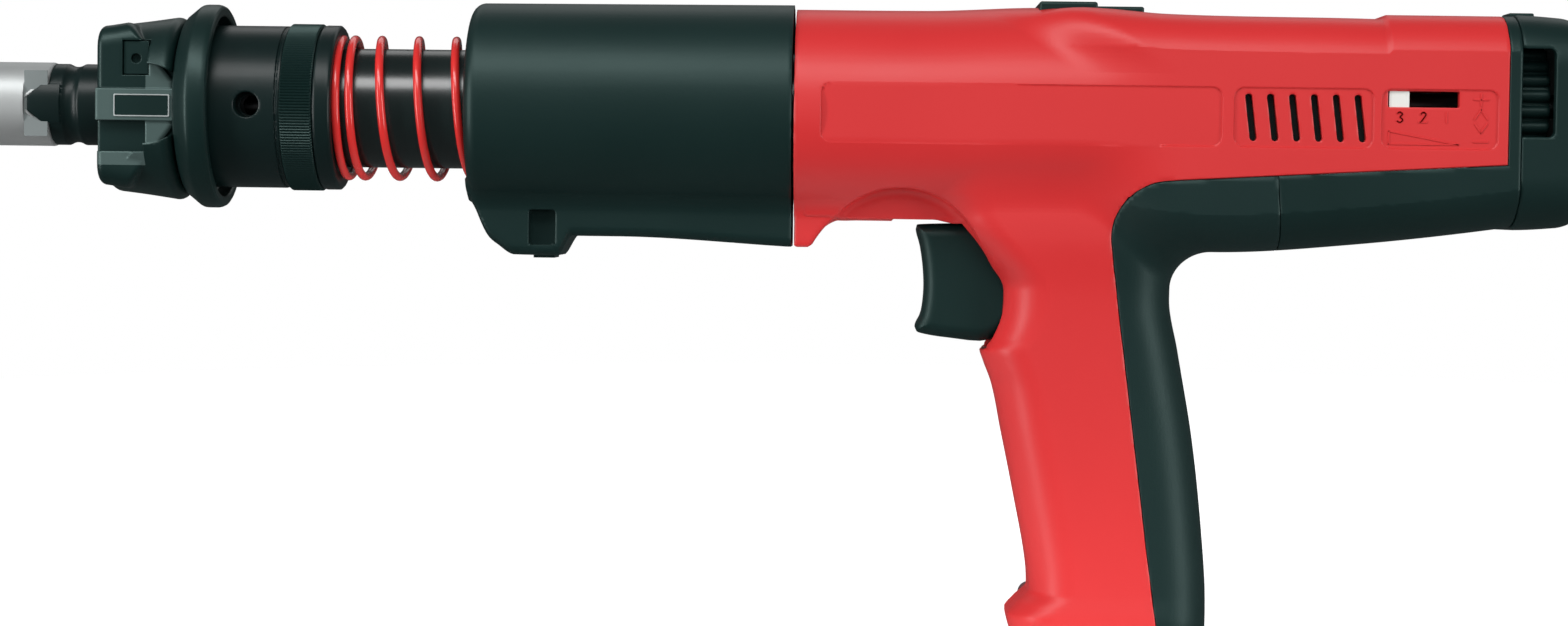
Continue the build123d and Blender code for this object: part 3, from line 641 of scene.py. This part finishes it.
OXIDE, DEEP_OXIDE = (0.0045, 0.0125, 0.0122), (0.0032, 0.0090, 0.0088)
BLACK_STEEL = turned_steel("black oxide steel", OXIDE, DEEP_OXIDE, 0.22, 0.0, shine=0.42)
COLLAR_STEEL = turned_steel("satin black collar", (0.0045, 0.0135, 0.0132), (0.0032, 0.0098, 0.0096), 0.34, 0.0,
                            shine=0.28)
TUBE_STEEL = turned_steel("polished guide tube", OXIDE, DEEP_OXIDE, 0.24, 0.0, shine=0.95)
GREY_STEEL = turned_steel("turned steel", (0.46, 0.47, 0.49), (0.36, 0.37, 0.39), 0.34)
NOSE_STEEL = turned_steel("nickel plated nose", (0.50, 0.52, 0.52), (0.42, 0.44, 0.44), 0.48, 0.6, 1100)
SPRING_LACQUER = plain("red spring lacquer", (0.74, 0.030, 0.028), 0.26, 0.0, 0.5)
SPRING_STEEL = plain("bright spring wire", (0.45, 0.46, 0.48), 0.28, 1.0)
NICKEL = plain("satin nickel", (0.60, 0.60, 0.60), 0.30, 1.0)
LABEL_INK = plain("light label border", (0.42, 0.46, 0.46), 0.5, 0.2)
# Darker steel that paints the shade of the nose tip's pocket floor.
POCKET_SHADE_STEEL = plain("darker steel for painted pocket shade", (0.22, 0.25, 0.25), 0.5, 0.3)
BRONZE = plain("bronze", (0.55, 0.36, 0.14), 0.32, 1.0)
WHITE = plain("white indicator", (0.80, 0.81, 0.78), 0.35)
BUMPER = plain("dense bumper rubber", (0.03, 0.03, 0.03), 0.6)
GUIDE = ((0.0048, 0.0165, 0.0155), (0.0033, 0.0120, 0.0113), 0.36, 0.00002, 1300, COOL)
GUIDE_BLACK = moulded("black guide plastic", *GUIDE)
print(len(bpy.data.materials), "materials so far")

# %% [markdown]
# Nodes whose engineering shape is already the real one keep it. They only need a finish, chosen
# by the slot that the record gives them.

# %% Finish the carried-over nodes
BY_SLOT = {"moulded_red": RED_SHELL, "moulded_black": BLACK_SHELL, "black_rubber": GRIP_RUBBER,
           "blackened_steel": BLACK_STEEL, "grey_steel": GREY_STEEL, "spring_red": SPRING_LACQUER,
           "spring_steel": SPRING_STEEL, "nickel_steel": NICKEL, "bronze_ring": BRONZE,
           "label_grey": GREY_STEEL, "indicator_white": WHITE, "bumper_rubber": BUMPER}
for entry in frame["record"]["subparts"]:
    node = frame["nodes"][entry["node"]]
    node.data.materials.clear()
    node.data.materials.append(BY_SLOT[entry["material_slot"]])
frame["nodes"]["piston_guide_tube"].data.materials[0] = TUBE_STEEL

# %% [markdown]
# Five small springs inside shorten when their button or lever moves. Each becomes a copy of its node,
# and we work out its fixed end and how much of its length is left after its joint's travel. A lever
# moves its spring by its arm times the tangent of its swing, and we add a little slack.

# %% Inner springs
def lever_travel(name, pivot, degrees, way):
    """How far a lever presses the spring's end; pivot is where the lever's pin is, across the push."""
    middle = sum(box_mm(name)) / 2
    return abs(middle[2 - way] - pivot) * math.tan(math.radians(degrees)) + 0.4


# node, body, joint, axis of the push, whether the fixed end is the high one, travel in mm
INNER_SPRINGS = (
    ("striker_spring", "housing", "striker_stroke", 0, 1, 10.0),
    ("guide_latch_spring", "nose", "guide_latch_push", 1, 1, 1.0),
    ("trigger_spring", "housing", "trigger_pull", 0, 1, lever_travel("trigger_spring", 63.0, 9.0, 0)),
    ("sear_spring", "housing", "sear_release", 2, 0, lever_travel("sear_spring", 30.0, 11.2, 2)),
    ("release_button_spring", "housing", "barrel_release_press", 2, 1, 2.5))
for name, body, joint, way, high_end, travel in INNER_SPRINGS:
    low, high = box_mm(name)
    node = frame["nodes"][name]
    mesh = node.data.copy()
    mesh.transform(node.matrix_world)
    piece = bpy.data.objects.new(name + "_coil", mesh)
    bpy.context.scene.collection.objects.link(piece)
    fit(piece, body, "spring_steel", SPRING_STEEL, name)
    anchor = (low + high) / 2
    anchor[way] = (low, high)[high_end][way]
    keep = float(1 - travel / (high[way] - low[way]))
    print(name, "keeps", round(keep, 3), "of", round(float(high[way] - low[way]), 1), "mm")
    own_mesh(piece)

# %% [markdown]
# ## The nose
# From the front: a plated tip with a flat-sided pocket, the black guide whose tongue clips into
# that pocket, and the moulded cover. All three move together, so they ride the same body.

# %% Nose tip and guide
TIP_FRONT, TIP_BACK = box_mm("nose_tip")[0][0], -263.0


def nose_tip(x, y, h):
    skin = join(rod(x, y, h, (TIP_FRONT, TIP_BACK), 10.5, 0.8), rod(x, y, h, (-270, -246), 8.5, 0.3))
    skin = np.maximum(skin, -rod(x, y, h, (-300, -254), 6.3))
    skin = np.maximum(skin, -rod(x, y, h, (-300, -240), 4.2))
    pocket = both(both(span(x, -269.1, TIP_BACK + 5), np.abs(h) - 8.4), 9.1 - np.abs(y), 0.3)
    return less(skin, both(pocket, x - TIP_BACK), 0.15)


def stud_guide(x, y, h):
    skin = rod(x, y, h, (-262.95, -224.4), 10.2, 0.35)
    skin = less(skin, np.hypot(x + 257.6, np.hypot(y, h) - 12.8) - 3.3, 0.2)
    taper = both(np.abs(h) - 4.9, (np.abs(h) - 4.9) * 0.76 + (-264.4 - x) * 0.65, 0.2)
    tongue = both(both(taper, span(x, -268.0, -260)), span(np.hypot(y, h), 9.15, 10.35), 0.15)
    skin = np.minimum(skin, both(tongue, 5 - np.abs(y)))
    skin = np.maximum(skin, -rod(x, y, h, (-270, -245.95), 8.55))
    return np.maximum(skin, -rod(x, y, h, (-250, -200), 4.3))


def tongue_rim(x, y, h):
    """Bright worn rim round the tongue."""
    taper = both(np.abs(h) - 5.5, (np.abs(h) - 5.5) * 0.76 + (-264.9 - x) * 0.65, 0.2)
    rim = both(both(taper, span(x, -268.7, -263.1)), span(np.hypot(y, h), 9.15, 9.9), 0.1)
    inner = both(np.abs(h) - 5.05, (np.abs(h) - 5.05) * 0.76 + (-264.5 - x) * 0.65, 0.2)
    return np.maximum(both(rim, 5 - np.abs(y)), -inner)


def pocket_shade_sheet(x, y, h):
    """Thin darker steel sheet on the pocket floor, seen round the tongue: painted shade for the recess."""
    return both(both(span(x, -269.0, -263.1), np.abs(h) - 8.2, 0.2), span(np.abs(y), 8.9, 9.3))


fit(mould("nose_tip_turned", nose_tip, steps(TIP_FRONT, -246, 0.6), steps(-10.6, 10.6, 0.5), steps(-10.6, 10.6, 0.5)),
    "nose", "grey_steel", NOSE_STEEL, "nose_tip")
fit(mould("stud_guide_body", stud_guide, steps(-268, -224, 0.6), steps(-10.4, 10.4, 0.45), steps(-10.4, 10.4, 0.5)),
    "nose", "blackened_steel", COLLAR_STEEL, "stud_guide")
# A thin darker sheet on each pocket floor: painted shade.
fit(mould("pocket_shade_sheets", pocket_shade_sheet, steps(-269.1, -263, 0.4), np.concatenate((steps(-9.4, -8.8, 0.15),
          steps(8.8, 9.4, 0.15))), steps(-8.3, 8.3, 0.4)), "nose", "grey_steel", POCKET_SHADE_STEEL)
fit(mould("tongue_rims", tongue_rim, steps(-269, -263, 0.25), steps(-10, 10, 0.25), steps(-5.6, 5.6, 0.25)),
    "nose", "grey_steel", NOSE_STEEL)

# %% [markdown]
# The cover is a tapered drum with a flat on each side. Where the round drum meets the flat it
# leaves a wing above and below, and a rib with a blank plate runs between them to the flange.

# %% Guide cover
def painted_sheen_flats(f):
    """Mask for the round flat, the lower strip and the rib's face: these get a painted sheen, a lighter colour for
    faces that catch the light.
    """
    px, py, pz = (f.node("ShaderNodeSeparateXYZ", {}, {0: f.place}, out=i) for i in range(3))
    out, rise = abs(py), pz - AXIS / 1000
    disc = ((px + 0.2370) * (px + 0.2370) + rise * rise < 0.0102**2) * (px > -0.2367)
    strip = (rise < -0.0119) * (rise > -0.0152) * (px < -0.2367)
    return (disc + strip) * (out > 0.0164) + (out > 0.0177) * (abs(rise) < 0.0044) * (1.0 - disc)


def guide_cover(x, y, h):
    back = -229.7
    drum = both(np.hypot(y, h + 0.7) - along(((-250, 20.5), (-240, 21.7), (-229, 23.3)), x), span(x, -248.6, back), 2.6)
    drum = less(drum, both(cutter(x, h), 15.4 - np.abs(y)), 0.4)
    nose = both(np.abs(y) - 17.2, np.abs(h + 0.4) - 19.4 - 2.4 * fade(-252, -232, x), 5.5)
    nose = both(nose, both(span(x, -249.0, back), x + 231.0 + 0.75 * (np.abs(h) - 7.0)), 1.6)
    skin = join(drum, nose, 0.4)
    ribs = both(brick(x, y, h, (-249.0, back), (-17.9, 17.9), (-4.3, 3.7), 0.4), np.hypot(y, h) - 22)
    skin = join(skin, ribs, 0.3)
    skin = less(skin, both(both(span(x, -242.5, -235.9), span(h, 7.0, 15.6)), 13.4 - np.abs(y)), 0.2)
    skin = less(skin, both(both(span(x, -250, -236.8), span(h, -11.8, -4.3)), 15.2 - np.abs(y)), 0.3)
    return np.maximum(skin, -rod(x, y, h, (-260, -200), 10.25))


def cutter(x, h):
    """Outline of the milled flat: a round end, opening towards the front."""
    return np.minimum(np.hypot(x + 236.0, h) - 9.8, np.abs(h) - 8.8 + 0.9 * (x + 236.0))


# The cover's flats and rib face carry a painted sheen.
COVER_BLACK = moulded("guide cover plastic", *GUIDE, painted_sheen_flats)
fit(mould("guide_cover_drum", guide_cover, steps(-249, -229.7, 0.5), steps(-23.4, 23.4, 0.5), steps(-24.1, 22.7, 0.5)),
    "nose", "moulded_black", COVER_BLACK, "guide_cover")


def label_plate(x, y, h, inset=0.0, low=17.7, high=18.25):
    """Blank plate on the rib; inset makes its inner face."""
    edge = both(span(x, -244.4 + inset, -230.6 - inset), span(h, -3.2 + inset, 2.3 - inset), 0.3)
    return both(edge, span(np.abs(y), low, high))


def label_border(x, y, h):
    return np.maximum(label_plate(x, y, h), -label_plate(x, y, h, 0.28, 10, 30))


def label_face(x, y, h):
    return label_plate(x, y, h, 0.3, 17.75, 18.1)


both_sides = np.concatenate((steps(-18.4, -17.6, 0.2), steps(17.6, 18.4, 0.2)))
fit(mould("label_borders", label_border, steps(-244.5, -230.5, 0.2), both_sides, steps(-3.3, 2.4, 0.2)),
    "nose", "label_grey", LABEL_INK, "label_plates")
fit(mould("label_faces", label_face, steps(-244.5, -230.5, 0.3), both_sides, steps(-3.3, 2.4, 0.3)),
    "nose", "label_grey", GUIDE_BLACK)


def latch_button(x, y, h):
    block = brick(x, y, h, (-242.3, -236.1), (-16.6, -14.85), (7.2, 15.4), 0.2)
    return less(block, both(np.hypot(x + 239.2, h - 11.1) - 1.2, y + 15.2), 0.15)


fit(mould("latch_button", latch_button, steps(-242.4, -236, 0.25), steps(-16.8, -14.7, 0.2), steps(7.1, 15.5, 0.25)),
    "latch", "nickel_steel", GUIDE_BLACK, "guide_latch")

# %% [markdown]
# ## Turned rings
# The flange and the collar were made on a lathe, so we make them on one: a profile of (position,
# radius) points spun round the barrel's axis. Each corner of a profile has a small bevel, because
# a real edge always catches a thread of light.

# %% The lathe
def face_outwards(mesh):
    """Turns every face outwards."""
    bm = bmesh.new()
    bm.from_mesh(mesh)
    bmesh.ops.recalc_face_normals(bm, faces=bm.faces)
    bm.to_mesh(mesh)
    bm.free()


def spin(name, profile, around=160, knurl=None):
    """Spins a closed profile of (x, radius) points. knurl gives (from, to, count, depth) ribs."""
    verts, quads = [], []
    turns = np.arange(around) / around * 2 * math.pi
    for a in turns:
        for x, r in profile:
            if knurl and knurl[0] <= x <= knurl[1] and r > knurl[4]:
                r = r - knurl[3] * (0.5 + 0.5 * math.cos(a * knurl[2]))
            verts.append((x / 1000, r * math.cos(a) / 1000, (r * math.sin(a) + AXIS) / 1000))
    n = len(profile)
    for i in range(around):
        for k in range(n):
            j, m = (i + 1) % around, (k + 1) % n
            quads.append((i * n + k, j * n + k, j * n + m, i * n + m))
    mesh = bpy.data.meshes.new(name)
    mesh.from_pydata(verts, [], quads)
    mesh.update()
    face_outwards(mesh)
    mesh.shade_smooth()
    mesh.set_sharp_from_angle(angle=math.radians(28))
    piece = bpy.data.objects.new(name, mesh)
    bpy.context.scene.collection.objects.link(piece)
    print(name, len(quads), "faces")
    return piece


def softened(profile, b=0.25):
    """Cuts a small bevel on each corner of a closed profile."""
    out = []
    for (px, pr), (cx, cr), (nx, nr) in zip(np.roll(profile, 1, 0), profile, np.roll(profile, -1, 0)):
        back, on = math.hypot(px - cx, pr - cr), math.hypot(nx - cx, nr - cr)
        u, v = min(b, back * 0.3) / back, min(b, on * 0.3) / on
        out += [(cx + (px - cx) * u, cr + (pr - cr) * u), (cx + (nx - cx) * v, cr + (nr - cr) * v)]
    return out


# %% [markdown]
# Most rings are plain profiles on the lathe. The collar is a distance shape instead, because its
# vent hole crosses it, and the knurled ring is spun with its radius going up and down 180 times.

# %% Flange, collar and knurled ring
FLANGE_BACK = -220.3
flange = [(-229.6, 10.4), (-229.6, 20.0), (-228.7, 22.6), (-225.4, 25.3), (-224.6, 25.5), (-221.6, 25.5),
          (FLANGE_BACK, 24.9), (FLANGE_BACK, 22.6), (-224.3, 22.4), (-224.3, 10.4)]
fit(spin("nose_flange_ring", softened(flange, 0.35), 200), "nose", "moulded_black", GUIDE_BLACK, "nose_flange")


def collar(x, y, h):
    r = np.hypot(y, h)
    body = both(r - 20.3, span(x, -224.3, -203.3))
    waist = both(r - 19.4, span(x, -203.4, -195.1))
    rear = both(r - 20.6, span(x, -195.2, -190.6), 1.0)
    skin = np.minimum(np.minimum(body, waist), rear)
    groove = both(span(x, -204.4, -203.9), 20.0 - r)
    skin = np.maximum(skin, -groove)
    skin = np.maximum(skin, -both(r - 14.95, -215 - x))
    skin = np.maximum(skin, -(r - 4.1))
    return less(skin, both(np.hypot(x + 211.3, h) - 3.1, 4.1 - np.abs(y)), 0.5)


fit(mould("collar_barrel", collar, steps(-224.4, -189, 0.7, ((-205, -203, 0.25), (-191, -189, 0.35))),
          steps(-20.7, 20.7, 0.8), steps(-20.7, 20.7, 0.8)), "nose", "blackened_steel", COLLAR_STEEL, "locating_collar")
knurl = [(-203.2, 19.45), (-203.2, 20.3), (-202.9, 20.9), (-195.6, 20.9), (-195.25, 20.3), (-195.25, 19.45)]
fit(spin("knurled_band", knurl, 1080, (-203.0, -195.5, 180, 0.38, 20.5)), "nose", "blackened_steel",
    GUIDE_BLACK, "knurled_ring")

# %% [markdown]
# ## The nose spring
# A compression spring is ground flat at the ends, so its first and last coils lie almost closed
# and the pitch opens between them. We sweep a round wire along that path. When the nose is pushed
# in, the real coil shortens towards its rear seat; here it is built at one length only.

# %% Spring
def coil(name, start, end, radius, wire, turns, around=16, per_turn=64):
    """A closed-end spring along the barrel, as a swept tube."""
    steps_in_all = int(turns * per_turn)
    t = np.linspace(0, turns, steps_in_all + 1)
    rate = 0.3 + 0.7 * fade(0.6, 2.2, t) * fade(0.6, 2.2, turns - t)
    run = np.concatenate(([0], np.cumsum((rate[1:] + rate[:-1]) / 2)))
    x = start + wire + (end - start - 2 * wire) * run / run[-1]
    a = 2 * math.pi * t + math.radians(COIL_START)
    path = np.stack([x, radius * np.cos(a), radius * np.sin(a)], 1)
    along_path = np.gradient(path, axis=0)
    along_path /= np.linalg.norm(along_path, axis=1, keepdims=True)
    outward = np.stack([0 * a, np.cos(a), np.sin(a)], 1)
    outward -= (outward * along_path).sum(1, keepdims=True) * along_path
    outward /= np.linalg.norm(outward, axis=1, keepdims=True)
    third = np.cross(along_path, outward)
    ring = np.arange(around) / around * 2 * math.pi
    verts = (path[:, None] + wire * (np.cos(ring)[None, :, None] * outward[:, None]
                                     + np.sin(ring)[None, :, None] * third[:, None])).reshape(-1, 3)
    quads = [(i * around + k, i * around + (k + 1) % around, (i + 1) * around + (k + 1) % around,
              (i + 1) * around + k) for i in range(steps_in_all) for k in range(around)]
    caps = [list(range(around))[::-1], [steps_in_all * around + k for k in range(around)]]
    mesh = bpy.data.meshes.new(name)
    mesh.from_pydata(((verts + (0, 0, AXIS)) / 1000).tolist(), [], [*quads, *caps])
    face_outwards(mesh)
    mesh.shade_smooth()
    piece = bpy.data.objects.new(name, mesh)
    bpy.context.scene.collection.objects.link(piece)
    print(name, len(quads), "faces")
    return piece


COIL_START = 90
SPRING_SEAT = box_mm("spring_seat")[0][0]
spring = coil("nose_spring_coil", -191.5, SPRING_SEAT, 17.2, 1.05, 12.35)
fit(spring, "housing", "spring_red", SPRING_LACQUER, "nose_spring")
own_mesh(spring)

# %% [markdown]
# ## Trigger
# The fingertip wears a hollow in the front face. Its outline is a smooth loop through a few
# points, given a generous round on the edges the finger touches.

# %% Trigger
FACE = ((-44.6, -27.3), (-45.9, -27.9), (-46.0, -29.4), (-45.0, -33.0), (-44.2, -38.5), (-44.0, -44.0),
        (-44.6, -49.3), (-45.9, -52.2), (-45.9, -53.6), (-44.6, -54.5), (-38.0, -55.5), (-27.5, -55.9),
        (-21.5, -50.0), (-20.5, -40.0), (-24.2, -27.2), (-34.0, -27.0))
trigger_loop = ring_of(FACE, 4)


def trigger_body(x, y, h):
    a = np.abs(y)
    skin = both(inside_loop(x, h, trigger_loop), a - 7.5, 3.4)
    hub = both(np.hypot(x + 30.0, h + 25.0) - 3.4, a - 7.5, 0.3)
    ear = brick(x, y, h, (-33, -27), (-3, 3), (-28, -18.2), 0.4)
    skin = np.minimum(np.minimum(skin, hub), ear)
    skin = np.maximum(skin, -(np.hypot(x + 30.0, h + 25.0) - 2.05))
    return np.minimum(skin, both(np.hypot(x + 30.0, h + 19.6) - 1.3, span(y, -3.0, 12.4), 0.2))


fit(mould("trigger_blade", trigger_body, steps(-46.3, -20, 0.6), steps(-7.6, 12.5, 0.6), steps(-56, -18, 0.6)),
    "trigger_body", "moulded_black", BLACK_SHELL, "trigger")

# %% [markdown]
# ## Power wheel and its lock
# The wheel is a moulded drum with round-topped ribs, so that a gloved thumb can turn it.

# %% Wheel
WHEEL_RISE = (box_mm("regulator_wheel")[0][2] + box_mm("regulator_wheel")[1][2]) / 2 - AXIS


def power_wheel(x, y, h):
    r, a = np.hypot(y, h - WHEEL_RISE), np.arctan2(h - WHEEL_RISE, y)
    step = 2 * math.pi / 28
    off = (a / step - np.floor(a / step) - 0.5) * step * 17.1
    rib = both(np.hypot(off, r - 17.1) - 1.45, span(x, 99.8, 107.6), 1.0)
    drum = both(r - 17.0, span(x, 99.9, 107.5), 0.3)
    return np.maximum(join(drum, rib, 0.3), -(r - 3.05))


fit(mould("power_wheel_drum", power_wheel, steps(99.7, 107.7, 0.5), steps(-18.8, 18.8, 0.42), steps(-15, 23, 0.42)),
    "regulator", "moulded_black", BLACK_SHELL, "regulator_wheel")


def lock_button(x, y, h):
    skin = brick(x, y, h, (99.8, 106.0), (-4.5, 4.5), (24.4, 26.9), 0.5)
    for i in range(3):
        skin = less(skin, both(np.hypot(x - 101.4 - 1.5 * i, h - 27.1) - 0.5, np.abs(y) - 3.4), 0.1)
    return skin


fit(mould("wheel_lock_cap", lock_button, steps(99.7, 106.1, 0.3), steps(-4.6, 4.6, 0.4), steps(24.3, 27, 0.25)),
    "wheel_lock", "moulded_black", BLACK_SHELL, "wheel_lock_button")

# %% [markdown]
# ## Strip exit and power scale
# The spent strip leaves through the black block on top. Beside the window, the scale is raised in
# the same red plastic: a wedge that grows with the power, three figures and plus and minus signs.

# %% Exit block
def exit_block(x, y, h):
    low = brick(x, y, h, (-16.6, 9.1), (-11, 11), (22.0, 27.0), 0.6)
    high = brick(x, y, h, (-16.6, -2.3), (-11, 11), (24.0, 28.1), 0.7)
    skin = np.minimum(low, high)
    return np.maximum(skin, -brick(x, y, h, (-9.75, 2.25), (-7.5, 7.5), (0, 40)))


fit(mould("strip_exit_cover", exit_block, steps(-16.7, 9.2, 0.5), steps(-11.1, 11.1, 0.6), steps(22, 28.2, 0.4)),
    "housing", "moulded_black", BLACK_SHELL, "strip_exit_block")

# %% [markdown]
# The marks of the scale are strokes with sloping sides, a quarter of a millimetre wide. The
# figures are smooth curves through a few points, so that no font is needed.

# %% Raised scale marks
def bend(points, steps=5):
    """Smooths an open stroke."""
    p = np.array(points, float)
    p = np.concatenate((2 * p[:1] - p[1:2], p, 2 * p[-1:] - p[-2:-1]))
    t = np.arange(steps)[:, None] / steps
    out = [0.5 * (2 * b + (c - a) * t + (2 * a - 5 * b + 4 * c - d) * t**2 + (3 * b - a - 3 * c + d) * t**3)
           for a, b, c, d in zip(p, p[1:], p[2:], p[3:])]
    return np.concatenate((*out, p[-2:-1]))


THREE = bend([(-1, 1.5), (0, 2), (0.95, 1.2), (0.1, 0.15), (1.05, -1.0), (0, -2), (-1.1, -1.4)])
TWO = bend([(-1, 1.2), (0, 2), (1, 1.2), (0.1, -0.4), (-1, -1.9)])
MARKS = [THREE * 0.62 + (69.8, 0.2), TWO * 0.62 + (75.4, 0.2), np.array([(74.4, -1.0), (76.3, -1.0)]) + (0, 0.02),
         np.array([(81.0, 1.4), (81.0, -1.0)]), np.array([(67.2, -3.2), (83.9, -6.3), (67.2, -6.3), (67.2, -3.2)]),
         np.array([(87.6, 4.6), (91.0, 4.6)]), np.array([(89.3, 6.0), (89.3, 3.2)]),
         np.array([(87.8, -0.1), (89.3, 2.2), (90.8, -0.1)]), np.array([(87.8, -1.2), (89.3, -3.4), (90.8, -1.2)]),
         np.array([(87.6, -5.6), (91.0, -5.6)])]


def scale_marks(marks, width=0.26, bed=-24.9, proud=0.22):
    """Low raised strokes on the bed of the panel."""
    verts, faces = [], []
    for stroke in marks:
        for (ax, ah), (bx, bh) in zip(stroke, stroke[1:]):
            d = np.array((bx - ax, bh - ah)) / math.hypot(bx - ax, bh - ah)
            n = np.array((-d[1], d[0]))
            a, b = np.array((ax, ah)) - d * width * 0.6, np.array((bx, bh)) + d * width * 0.6
            base = len(verts)
            for end in (a, b):
                for off, lift in ((-1, 0), (-0.55, 1), (0.55, 1), (1, 0)):
                    q = end + n * width * off
                    verts.append((q[0], bed + 0.05 - (proud + 0.05) * lift, q[1]))
            faces += [(base + k, base + k + 4, base + k + 5, base + k + 1) for k in range(3)]
            faces += [(base, base + 1, base + 2, base + 3), (base + 7, base + 6, base + 5, base + 4)]
    mesh = bpy.data.meshes.new("power_scale_marks")
    mesh.from_pydata(((np.array(verts) + (0, 0, AXIS)) / 1000).tolist(), [], faces)
    face_outwards(mesh)
    piece = bpy.data.objects.new("power_scale_marks", mesh)
    bpy.context.scene.collection.objects.link(piece)
    return piece


fit(scale_marks(MARKS), "housing", "moulded_red", RED_SHELL)

# %% [markdown]
# ## Light and floor
# A broad soft key hangs above and in front. Two tall strips, left and right, draw the long
# highlights down the grip and the trigger. The front fill lifts the shadows but takes no part in
# reflections, so black plastic stays black. The floor is a pale disc that glows a little.

# %% Studio
def soft_light(name, place, target, size, power, shiny=True):
    lamp = bpy.data.lights.new(name, "AREA")
    lamp.shape, lamp.size, lamp.size_y, lamp.energy = "RECTANGLE", size[0], size[1], power
    made = bpy.data.objects.new(name, lamp)
    bpy.context.scene.collection.objects.link(made)
    made.location = place
    made.visible_glossy = shiny
    made.rotation_euler = (Vector(target) - Vector(place)).to_track_quat("-Z", "Y").to_euler()


soft_light("key", (-0.35, -0.9, 1.1), (-0.05, 0, 0.08), (1.5, 0.45), 14)
soft_light("left strip", (-1.0, -0.55, 0.12), (-0.05, 0, 0.05), (0.22, 0.9), 6)
soft_light("right strip", (1.0, -0.60, 0.15), (0.0, 0, 0.05), (0.25, 0.9), 6)
soft_light("front fill", (0.1, -1.4, 0.3), (-0.05, 0, 0.05), (1.2, 0.8), 6.0, False)
soft_light("back", (0.0, 0.9, 0.9), (0.0, 0, 0.08), (1.4, 0.5), 2)

world = bpy.data.worlds.new("studio")
bpy.context.scene.world = world
world.use_nodes = True
world.node_tree.nodes["Background"].inputs["Color"].default_value = (1, 1, 1, 1)
sky = world.node_tree
sees = sky.nodes.new("ShaderNodeLightPath")
level = sky.nodes.new("ShaderNodeMapRange")
level.inputs["To Min"].default_value, level.inputs["To Max"].default_value = 0.08, 1.0
sky.links.new(sees.outputs["Is Camera Ray"], level.inputs["Value"])
sky.links.new(level.outputs["Result"], sky.nodes["Background"].inputs["Strength"])

floor_mesh = bpy.data.meshes.new("floor")
FLOOR_RADIUS, FLOOR_MIDDLE, FLOOR_LEVEL = 0.68, 0.61, (AXIS + GRIP_FOOT) / 1000 - 0.0006
round_floor = [(FLOOR_RADIUS * math.cos(a), FLOOR_MIDDLE + FLOOR_RADIUS * math.sin(a), FLOOR_LEVEL)
               for a in np.linspace(0, 2 * math.pi, 129)[:-1]]
floor_mesh.from_pydata(round_floor, [], [list(range(128))])
floor = bpy.data.objects.new("floor", floor_mesh)
bpy.context.scene.collection.objects.link(floor)
pale = Finish("pale studio floor")
pale.set(Base_Color=pale.blend(pale.noise(3), (0.93, 0.93, 0.93), (0.95, 0.95, 0.95)), Roughness=0.8,
         Emission_Color=pale.blend(pale.noise(3), (0.97, 0.97, 0.97), (1, 1, 1)), Emission_Strength=0.86)
floor_mesh.materials.append(pale.material)
floor.visible_glossy = False

bpy.context.scene.view_settings.view_transform = "Standard"
print(len(bpy.data.lights), "lights, floor at", round(FLOOR_LEVEL, 4))
